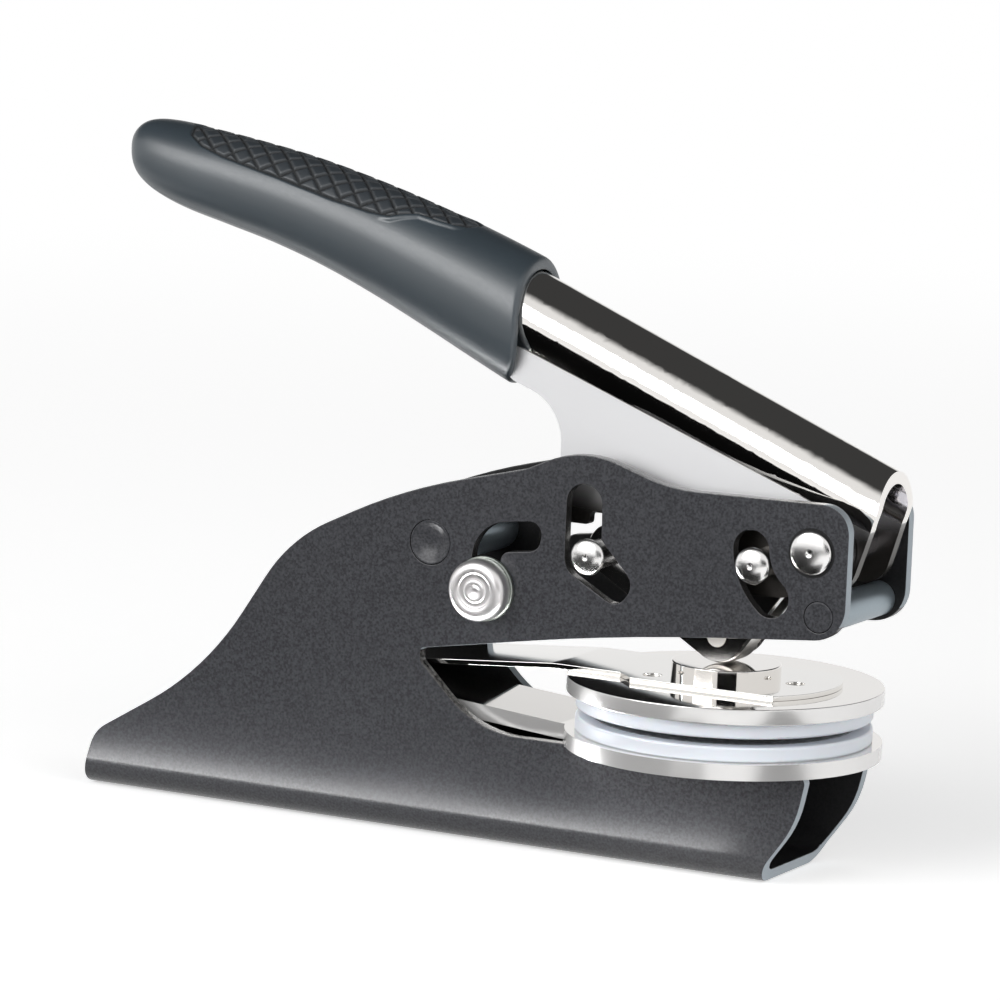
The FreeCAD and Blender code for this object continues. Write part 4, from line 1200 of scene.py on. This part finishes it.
    @staticmethod
    def girths(ring: list[Vector], top: int) -> list[float]:
        """Distance round the ring from its top, in millimetres, for each of its points.

        Args:
            ring: The ring.
            top: Number of its highest point.

        Returns:
            The distances, below 0 on one side.
        """
        count = len(ring)
        girths = [0.0] * count
        for step in (1, -1):
            walked = 0.0
            for offset in range(1, count // 2 + 1):
                here, before = (top + step * offset) % count, (top + step * (offset - 1)) % count
                walked += (ring[here] - ring[before]).length / MM
                girths[here] = step * walked
        return girths

    def close(self, piece: bpy.types.Object) -> None:
        """Joins the seam along the grid and fills its two ends.

        Args:
            piece: The open sleeve.
        """
        with editing(piece):
            bpy.ops.mesh.remove_doubles(threshold=self.seam_within * MM)
            bpy.ops.mesh.select_all(action="DESELECT")
            bpy.ops.mesh.select_mode(type="EDGE")
            bpy.ops.mesh.select_non_manifold()
            bpy.ops.mesh.fill_holes(sides=0)
            bpy.ops.mesh.select_all(action="SELECT")
            bpy.ops.mesh.normals_make_consistent(inside=False)
            bpy.ops.mesh.select_mode(type="VERT")
        bpy.ops.object.shade_smooth_by_angle(angle=self.smooth_below)


# ---------------------------------------------------------------------------------------------
# Sub-assemblies
# ---------------------------------------------------------------------------------------------
Box = tuple[float, float, float, float]
PIN_HEAD = Head(dimple=0.42 * MM)
PIVOT_HEAD = Head(dimple=0.45 * MM)
HEAD_HEIGHT = 1.1 * MM
SHANK = 2.3 * MM
DISC_RADIUS = 25.0 * MM
RIM_DEPTH = 0.3 * MM
RIM_TILT = 0.5


def build_pin(node: str, body: Body) -> None:
    """Makes a moving pin with two domed heads.

    Args:
        node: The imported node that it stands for.
        body: The body that it rides on.
    """
    foot = far_end_of(node) - HEAD_HEIGHT
    piece = turned_across(node, [(SHANK, foot)] + PIN_HEAD.profile(radius_of(node), foot, HEAD_HEIGHT))
    wear(piece, PIN_NICKEL)
    hand_over(piece, body, node)


def is_disc_rim(face: Face) -> bool:
    """Whether a face is on the round rim of a carrier disc."""
    reach = math.hypot(face.center.x, face.center.y)
    return reach > DISC_RADIUS - RIM_DEPTH and abs(face.normal.z) < RIM_TILT


def build_disc(node: str, body: Body, width: float) -> None:
    """Softens a carrier disc's edges and finishes its rim as turned.

    Args:
        node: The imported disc.
        body: The body that it rides on.
        width: Width of the rounding in metres.
    """
    disc = softened(node, body, NICKEL, width)
    disc.data.materials.append(RIM_NICKEL.material())
    paint_faces(disc, 1, is_disc_rim)


class FrameFace(IntEnum):
    """The frame's finishes, as its faces are numbered."""

    COAT = 0
    CUT = 1
    # Slot walls: paint darkened as painted shade
    SLOT = 2
    # Faces inside the frame: paint darkened as painted shade
    INSIDE = 3
    THROAT = 4
    TOP = 5


@dataclass
class Base:
    """The folded frame with its ties, the front pivot pin and the lower half of the die clip."""

    sheet: float = 2.0 * MM
    half_width: float = 12.5 * MM
    edge_round: float = 0.22 * MM
    sharp_above: float = 50.0
    bend_outside: float = 5.0 * MM
    mouth_floor: float = 18.1 * MM
    mouth_tip: float = -47.8 * MM
    mouth_top: float = 32.0 * MM
    mouth_front: float = 21.0 * MM
    mouth_rounding: float = 0.5 * MM
    head_front: float = 20.0 * MM
    # Boxes round the slots and holes of the frame's head: x from and to, z from and to
    slots: tuple[Box, ...] = ((-52.0 * MM, 24.2 * MM, 38.0 * MM, 55.4 * MM),
                              (-24.0 * MM, -14.0 * MM, 38.0 * MM, 60.2 * MM))
    # Share of a face's normal past which it counts as facing an end, a side, upwards or downwards
    end_facing: float = 0.4
    side_facing: float = 0.85
    up_facing: float = 0.6
    down_facing: float = -0.5
    pin_shank: float = 2.5 * MM
    neck_top: float = 0.26 * MM
    neck_in: float = 0.02 * MM
    # Dark ring of painted shade and neck of the pivot pin: millimetres outside its head and above the plate
    pin_collar: tuple[tuple[float, float], ...] = (
        (0.42, 0.005), (0.42, 0.03), (-0.25, 0.035), (-0.28, 0.25))
    front_dish: float = 0.03 * MM
    rear_dish: float = 0.9 * MM
    tie_shoulder: float = 0.3 * MM
    tie_play: float = 0.05 * MM
    # Rounded end of a tie: millimetres inside its radius and under its end
    tie_edge: tuple[tuple[float, float], ...] = ((0.05, 0.16), (0.12, 0.05), (0.24, 0.02))
    dish_under: float = 0.02 * MM
    dish_rings: int = 12
    brim_width: float = 0.3 * MM
    holder_round: float = 0.4 * MM
    disc_round: float = 0.2 * MM
    die_round: float = 0.2 * MM
    spacer_round: float = 0.15 * MM

    def build(self) -> None:
        """Makes the frame and dresses the pieces fixed to it."""
        self.build_frame()
        self.build_pivot_pin()
        self.build_tie("front_tie", self.front_dish)
        self.build_tie("rear_tie", self.rear_dish)
        softened("clip_holder", Body.BASE, HOLDER_PLASTIC, self.holder_round)
        build_disc("lower_die_arm", Body.BASE, self.disc_round)
        dress_node("lower_die_ring", WHITE_PLASTIC)
        softened("lower_die", Body.BASE, DIE_METAL, self.die_round)
        softened("clip_spacer", Body.BASE, HOLDER_PLASTIC, self.spacer_round)
        dress_node("clip_rivets", NICKEL)

    def build_frame(self) -> None:
        """Rounds the frame's cut edges and finishes them apart from the paint; the inside and the slot walls
        wear darkened paint, as painted shade.
        """
        piece = copied("frame")
        round_edges(piece, self.edge_round, 2, self.sharp_above)
        even_shading(piece)
        wear(piece, COAT, CUT_EDGE, SLOT_COAT_PAINTED_SHADE, COAT_PAINTED_SHADE, THROAT_EDGE, TOP_EDGE)
        for face in piece.data.polygons:
            face.material_index = self.frame_face(face.center, face.normal).value
        hand_over(piece, Body.BASE, "frame")

    def frame_face(self, centre: Vector, normal: Vector) -> FrameFace:
        """The finish that a face of the frame wears, by its place and direction.

        Args:
            centre: The face's middle.
            normal: The face's normal.

        Returns:
            The finish.
        """
        outward = centre.y * normal.y > 0
        bend_axis = self.half_width - self.bend_outside
        if centre.z < self.bend_outside and abs(normal.x) < self.end_facing:
            if abs(centre.y) <= bend_axis:
                return FrameFace.INSIDE if normal.z > 0 else FrameFace.COAT
            away = (abs(centre.y) - bend_axis) * abs(normal.y) * (1 if outward else -1)
            away += (centre.z - self.bend_outside) * normal.z
            return FrameFace.COAT if away > 0 else FrameFace.INSIDE
        if abs(normal.y) > self.side_facing:
            return FrameFace.COAT if outward else FrameFace.INSIDE
        for x_from, x_to, z_from, z_to in self.slots:
            if x_from < centre.x < x_to and z_from < centre.z < z_to:
                return FrameFace.SLOT
        in_mouth = (self.mouth_tip - MM < centre.x < self.mouth_front
                    and self.mouth_floor - self.mouth_rounding < centre.z < self.mouth_top)
        if in_mouth and normal.z > self.down_facing:
            return FrameFace.THROAT if centre.y < 0 else FrameFace.CUT
        on_top = normal.z > self.up_facing and centre.x < self.head_front
        return FrameFace.TOP if on_top else FrameFace.CUT

    def build_pivot_pin(self) -> None:
        """Domed pivot pin, each head in a dark ring of painted shade, as of a recess round the head."""
        node = "front_pivot_pin"
        plate = far_end_of(node) - HEAD_HEIGHT
        head = radius_of(node)
        half = [(self.pin_shank, plate)]
        half += [(head + outside * MM, plate + above * MM) for outside, above in self.pin_collar]
        half += PIVOT_HEAD.profile(head - self.neck_in, plate + self.neck_top, HEAD_HEIGHT - self.neck_top)
        piece = turned_across(node, half)
        wear(piece, PIN_NICKEL, COAT_PAINTED_SHADE)
        ring_low, ring_high = plate - SLIGHT, plate + self.pin_collar[-1][1] * MM
        # Painted shade: the collar faces round each head wear the near-black coat
        paint_faces(piece, 1, lambda face: ring_low < abs(face.center.y) < ring_high)
        hand_over(piece, Body.BASE, node)

    def build_tie(self, node: str, dish: float) -> None:
        """A tie whose ends are flush with the plates and painted over, more or less dished.

        Args:
            node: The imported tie.
            dish: How deep its ends are dished, in metres.
        """
        end = far_end_of(node)
        thick = radius_of(node)
        radius = thick - self.tie_shoulder
        inner = end - self.sheet
        half = [(thick, inner), (radius - self.tie_play, inner + SLIGHT)]
        half += [(radius - inside * MM, end - under * MM) for inside, under in self.tie_edge]
        bowl = radius - self.brim_width
        brim = end - self.dish_under
        for step in range(1, self.dish_rings):
            reach = bowl * (1 - step / self.dish_rings)
            half.append((reach, brim - dish * (1 - (reach / bowl) ** 2)))
        half.append((POLE, brim - dish))
        piece = turned_across(node, half)
        wear(piece, TIE, COAT)
        paint_faces(piece, 1, lambda face: abs(face.center.y) > inner + 2 * SLIGHT)
        hand_over(piece, Body.BASE, node)


@dataclass
class Lever:
    """The folded nickel lever with its grip, bush, washers and link pin."""

    grip: Grip = field(default_factory=Grip)

    def build(self) -> None:
        """Makes the grip and the link pin and dresses the rest."""
        self.grip.build()
        dress_node("lever", LEVER_PLATE)
        dress_node("pivot_bush", ZINC)
        dress_node("pivot_washers", ZINC)
        build_pin("link_pin", Body.LEVER)


@dataclass
class PressLink:
    """The two link plates with the pressing nose and their pins."""

    chamfer: float = 0.42 * MM
    # A chamfer's faces have a normal with a share of Y between these
    chamfer_facing: tuple[float, float] = (0.3, 0.9)

    def build(self) -> None:
        """Chamfers the plates, makes the guide pin and dresses the rest."""
        least, most = self.chamfer_facing
        for node in ("near_link_plate", "far_link_plate"):
            piece = softened(node, Body.LINK, LINK_NICKEL, self.chamfer, 1)
            piece.data.materials.append(NICKEL.material())
            paint_faces(piece, 1, lambda face: least < abs(face.normal.y) < most)
        dress_node("press_nose", SATIN_NICKEL)
        dress_node("nose_pin", SATIN_NICKEL)
        build_pin("guide_pin", Body.LINK)
        dress_node("guide_spacer", ZINC)


@dataclass
class UpperArm:
    """The spring strip with the upper disc, its ring and die, the rivets and the button."""

    strip_round: float = 0.16 * MM
    disc_round: float = 0.22 * MM
    die_round: float = 0.2 * MM
    button_round: float = 0.22 * MM
    button_steps: int = 4
    button_sides: int = 160

    def build(self) -> None:
        """Makes the strip, the disc, the die and the button and dresses the rest."""
        softened("upper_spring_arm", Body.UPPER_ARM, SPRING, self.strip_round)
        build_disc("upper_disc", Body.UPPER_ARM, self.disc_round)
        dress_node("upper_die_ring", WHITE_PLASTIC)
        softened("upper_die", Body.UPPER_ARM, DIE_METAL, self.die_round)
        dress_node("disc_rivets", SATIN_NICKEL)
        self.build_button()

    def build_button(self) -> None:
        """The pressure button: a thick disc with a softly broken edge."""
        node = "pressure_button"
        low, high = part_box(node)
        radius, soft = radius_of(node), self.button_round
        profile = [(radius, low[2])]
        for step in range(self.button_steps + 1):
            turn = math.pi / 2 * step / self.button_steps
            profile.append((radius - soft * (1 - math.cos(turn)), high[2] - soft * (1 - math.sin(turn))))
        profile.append((POLE, high[2]))
        middle = middle_of(node)
        piece = turned(node + FINE, Vector((middle.x, middle.y, 0)), Vector((0, 0, 1)), profile,
                       self.button_sides)
        even_shading(piece)
        wear(piece, NICKEL)
        hand_over(piece, Body.UPPER_ARM, node)


@dataclass
class Lock:
    """The lock shaft with its knobs and washers."""

    shoulder: float = 1.25 * MM
    crown: float = 1.45 * MM
    crown_steps: int = 9
    sides: int = 128
    # Back of a knob: share of its radius, and millimetres in front of its foot
    back: tuple[tuple[float, float], ...] = ((0.86, 0.0), (0.97, 0.12), (1.0, 0.4))
    # Dish and boss in its face: share of its radius, and millimetres under the face
    dish: tuple[tuple[float, float], ...] = (
        (0.62, 0.02), (0.575, 0.10), (0.55, 0.30), (0.50, 0.36), (0.40, 0.32), (0.37, 0.10),
        (0.33, 0.03), (0.24, 0.03), (0.18, 0.14), (0.10, 0.32))
    dish_depth: float = 0.36 * MM

    def build(self) -> None:
        """Turns the knobs and dresses the lock's other pieces."""
        dress_node("lock_shaft", ZINC)
        self.build_knob("near_lock_knob", -ACROSS)
        self.build_knob("far_lock_knob", ACROSS)
        dress_node("lock_washers", WASHER)

    def build_knob(self, node: str, outward: Vector) -> None:
        """A knob with a rounded rim, a dished face and a small boss over the end of the shaft.

        Args:
            node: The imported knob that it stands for.
            outward: Direction from the frame to the knob's face.
        """
        foot, face = sorted(abs(corner[1]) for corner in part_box(node))
        radius = radius_of(node)
        profile = [(radius * share, foot + above * MM) for share, above in self.back]
        for step in range(1, self.crown_steps + 1):
            turn = math.pi / 2 * step / self.crown_steps
            profile.append((radius - self.crown * (1 - math.cos(turn)),
                            face - self.shoulder * (1 - math.sin(turn))))
        profile += [(radius * share, face - under * MM) for share, under in self.dish]
        profile.append((POLE, face - self.dish_depth))
        middle = middle_of(node)
        piece = turned(node + FINE, Vector((middle.x, 0, middle.z)), outward, profile, self.sides)
        wear(piece, KNOB_NICKEL)
        hand_over(piece, Body.LOCK, node)


# ---------------------------------------------------------------------------------------------
# Studio
# ---------------------------------------------------------------------------------------------
@dataclass(frozen=True)
class FloorFinish(Finish):
    """Seamless white paper, grey to the light that it throws back on the object."""

    colour: Colour = (0.95, 0.95, 0.95)
    bounce: Colour = (0.38, 0.38, 0.38)
    cloud_scale: float = 3.0
    cloud_share: float = 0.985
    roughness: float = 0.9
    glow: float = 0.50
    white_from: float = 0.22
    white_to: float = 0.95

    def shade(self, shading: Shading) -> None:
        """Matt paper that shows white where it is looked at or mirrored, and plain white far away.

        Args:
            shading: The tree to fill in.
        """
        paper = shading.clouded(self.colour, self.cloud_scale, self.cloud_share)
        path = shading.node("ShaderNodeLightPath")
        seen = shading.math("MAXIMUM", path.outputs["Is Camera Ray"], path.outputs["Is Glossy Ray"])
        seen = shading.math("MAXIMUM", seen, path.outputs["Is Transmission Ray"])
        length = shading.node("ShaderNodeVectorMath", {0: shading.place()}, operation="LENGTH")
        far = shading.map(length.outputs["Value"], self.white_from, self.white_to, 0.0, 1.0, smooth=True)
        lit = shading.mix(far, paper, grey(0.0))
        shading.set(Base_Color=shading.mix(seen, self.bounce, lit), Roughness=self.roughness,
                    Specular_IOR_Level=0.0)
        white = shading.map(far, 0.0, 1.0, self.glow, 1.0)
        strength = shading.math("MULTIPLY", seen, white)
        glow = shading.node("ShaderNodeEmission", {"Color": grey(1.0), "Strength": strength})
        both = shading.node("ShaderNodeAddShader", {0: shading.shader.outputs[0], 1: glow.outputs[0]})
        shading.feed(shading.output.inputs["Surface"], both.outputs[0])


@dataclass(frozen=True)
class CardFinish(Finish):
    """A studio card that shows only in reflections: black cloth, or a glowing strip."""

    level: float = 0.0
    fade: float = 0.0
    cloth: Colour = grey(0.002)
    thread: Colour = grey(0.004)
    weave_scale: float = 300.0
    roughness: float = 0.95

    def shade(self, shading: Shading) -> None:
        """Matt and nearly black, or lit, less so towards its +X end.

        Args:
            shading: The tree to fill in.
        """
        weave = shading.effect(Effect.GRAIN, Scale=self.weave_scale, Low=0.9, High=1.0)
        along = shading.axis(shading.place(), "X")
        light = shading.map(along, -0.5, 0.5, self.level, self.level * (1 - self.fade))
        shading.set(Base_Color=shading.mix(weave, self.cloth, self.thread), Roughness=self.roughness,
                    Specular_IOR_Level=0.0, Emission_Color=grey(1.0), Emission_Strength=light)


@dataclass(frozen=True)
class Card:
    """A flat studio card: its middle, its width and length, and how it is turned, in degrees."""

    name: str
    middle: tuple[float, float, float]
    spread: tuple[float, float]
    turn: tuple[float, float, float] = (0.0, 0.0, 0.0)
    level: float = 0.0
    fade: float = 0.0


@dataclass(frozen=True)
class Lamp:
    """A softbox: its heading and height in degrees, distance and size in metres, and power in watts."""

    name: str
    azimuth: float
    elevation: float
    distance: float
    spread: tuple[float, float]
    watts: float
    in_reflections: bool = True


def towards(azimuth: float, distance: float, height: float = 0.0) -> Vector:
    """A point at a distance from the origin, its azimuth in degrees from +X towards +Y.

    Args:
        azimuth: The direction.
        distance: The distance in metres.
        height: The height in metres.

    Returns:
        The point.
    """
    angle = math.radians(azimuth)
    return Vector((distance * math.cos(angle), distance * math.sin(angle), height))


@dataclass
class Studio:
    """A pale floor, a bright sky under a dark ceiling, two softboxes, cards for the metal, the camera."""

    sky_level: float = 0.85
    horizon_level: float = 0.95
    horizon: tuple[float, float] = (0.02, 0.25)
    ceiling_level: float = 0.045
    ceiling_tilt: float = 38.0
    ceiling_edge: tuple[float, float] = (58.0, 74.0)
    ceiling_from: tuple[float, float] = (13.0, 24.0)
    view_azimuth: float = 117.26
    floor_radius: float = 40.0
    floor_z: float = -0.15 * MM
    target: Vector = field(default_factory=lambda: Vector((-0.03, 0.0, 0.05)))
    camera_place: Vector = field(default_factory=lambda: Vector((0.36248, -0.78381, 0.18852)))
    camera_back: Vector = field(default_factory=lambda: Vector((0.45247, -0.87880, 0.15159)))
    camera_up: Vector = field(default_factory=lambda: Vector((-0.10550, 0.11604, 0.98763)))
    lens: float = 201.3
    sensor_width: float = 36.0
    # Rays that don't see a card: reflections alone do
    card_hidden_from: tuple[str, ...] = ("camera", "diffuse", "shadow", "transmission", "volume_scatter")

    def cards(self) -> list[Card]:
        """The cards that only reflections see.

        Returns:
            The cards, the only lit one last.
        """
        far = towards(-117.0, 0.72, 0.0008) + Vector((-0.05, 0, 0))
        right = towards(-26.0, 0.28, 0.0005)
        behind_camera = towards(-62.8, 1.3, 0.2)
        return [
            Card("left_floor_card", (-0.1385, -0.2325, 0.0006), (0.223, 0.395)),
            Card("near_floor_card", (-0.001, -0.083, 0.0005), (0.052, 0.096)),
            Card("far_floor_card", tuple(far), (1.3, 0.8), (0, 0, -27.0)),
            Card("right_floor_card", tuple(right), (0.44, 0.066), (0, 0, -26.0)),
            Card("camera_card", tuple(behind_camera), (0.95, 0.42), (90.0, 0, 27.2)),
            Card("base_strip", (-0.062, -0.029, 0.0004), (0.124, 0.010), level=30.0, fade=0.3),
        ]

    def lamps(self) -> list[Lamp]:
        """The softbox that shows on the object, and a weak fill that doesn't.

        Returns:
            The softboxes.
        """
        return [
            Lamp("softbox", -113.0, 24.0, 1.15, (0.9, 0.55), 6.5),
            Lamp("fill", -25.0, 12.0, 1.0, (0.6, 0.5), 2.0, in_reflections=False),
        ]

    def build(self) -> None:
        """Sets up the world, the floor, the cards, the lamps and the camera."""
        scene = bpy.context.scene
        scene.view_settings.view_transform = "Standard"
        self.build_world(scene)
        self.build_floor()
        for card in self.cards():
            self.build_card(card)
        for lamp in self.lamps():
            self.build_lamp(lamp)
        self.build_camera(scene)

    def build_world(self, scene: bpy.types.Scene) -> None:
        """A bright sky in front and a bright horizon all round, under a dark ceiling that leans back.

        Args:
            scene: The scene that it lights.
        """
        world = bpy.data.worlds.new("studio_sky")
        world.use_nodes = True
        scene.world = world
        layout = Layout(world.node_tree)
        world.node_tree.nodes.clear()
        heading = layout.node("ShaderNodeTexCoord").outputs["Generated"]
        height = layout.axis(heading, "Z")
        tilt = math.radians(self.ceiling_tilt)
        back = towards(self.view_azimuth, math.sin(tilt), math.cos(tilt))
        to_middle = layout.dot(heading, tuple(back))
        near, wide = (math.cos(math.radians(edge)) for edge in self.ceiling_edge)
        under = layout.map(to_middle, wide, near, 0.0, 1.0, smooth=True)
        low, high = (math.sin(math.radians(edge)) for edge in self.ceiling_from)
        above = layout.map(height, low, high, 0.0, 1.0, smooth=True)
        ceiling = layout.math("MULTIPLY", under, above)
        bright = layout.map(height, *self.horizon, self.horizon_level, self.sky_level)
        level = layout.map(ceiling, 0.0, 1.0, bright, self.ceiling_level)
        sky = layout.node("ShaderNodeBackground", {"Color": grey(1.0), "Strength": level})
        layout.node("ShaderNodeOutputWorld", {"Surface": sky.outputs[0]})

    def build_floor(self) -> None:
        """A round seamless floor, wide enough to meet the sky."""
        bpy.ops.object.select_all(action="DESELECT")
        bpy.ops.mesh.primitive_circle_add(vertices=96, radius=self.floor_radius, fill_type="NGON",
                                          location=(0, 0, self.floor_z))
        floor = bpy.context.active_object
        floor.name = "floor"
        wear(floor, FloorFinish("studio_floor"))

    def build_card(self, card: Card) -> None:
        """Sets up a card that neither the camera nor the soft light sees.

        Args:
            card: The card to set up.
        """
        bpy.ops.object.select_all(action="DESELECT")
        bpy.ops.mesh.primitive_plane_add(size=1, location=card.middle,
                                         rotation=[math.radians(angle) for angle in card.turn])
        made = bpy.context.active_object
        made.name = card.name
        made.scale = (*card.spread, 1)
        for ray in self.card_hidden_from:
            setattr(made, "visible_" + ray, False)
        name = "black_card" if card.level == 0 else "bright_card"
        wear(made, CardFinish(name, card.level, card.fade))

    def build_lamp(self, lamp: Lamp) -> None:
        """Sets up a softbox that points at the object.

        Args:
            lamp: The lamp to set up.
        """
        angle = math.radians(lamp.elevation)
        place = self.target + towards(lamp.azimuth, lamp.distance * math.cos(angle),
                                      lamp.distance * math.sin(angle))
        bpy.ops.object.select_all(action="DESELECT")
        bpy.ops.object.light_add(type="AREA", location=place)
        made = bpy.context.active_object
        made.name = lamp.name
        made.data.shape = "RECTANGLE"
        made.data.size, made.data.size_y = lamp.spread
        made.data.energy = lamp.watts
        made.visible_glossy = lamp.in_reflections
        made.rotation_euler = (self.target - place).to_track_quat("-Z", "Y").to_euler()

    def build_camera(self, scene: bpy.types.Scene) -> None:
        """A long lens, a little above the object and to the right of its near side.

        Args:
            scene: The scene that it looks at.
        """
        data = bpy.data.cameras.new("camera")
        data.lens = self.lens
        data.sensor_width = self.sensor_width
        data.clip_start = 0.01
        camera = bpy.data.objects.new("camera", data)
        scene.collection.objects.link(camera)
        right = self.camera_up.cross(self.camera_back)
        turn = Matrix((right, self.camera_up, self.camera_back)).transposed()
        camera.matrix_world = Matrix.Translation(self.camera_place) @ turn.to_4x4()
        scene.camera = camera


def main() -> None:
    """Builds the shared effects, the sub-assemblies and the studio."""
    logging.basicConfig(level=logging.INFO, format="%(name)s: %(message)s")
    build_effects()
    for part in (Base(), Lever(), PressLink(), UpperArm(), Lock(), Studio()):
        part.build()


if __name__ == "__main__":
    main()
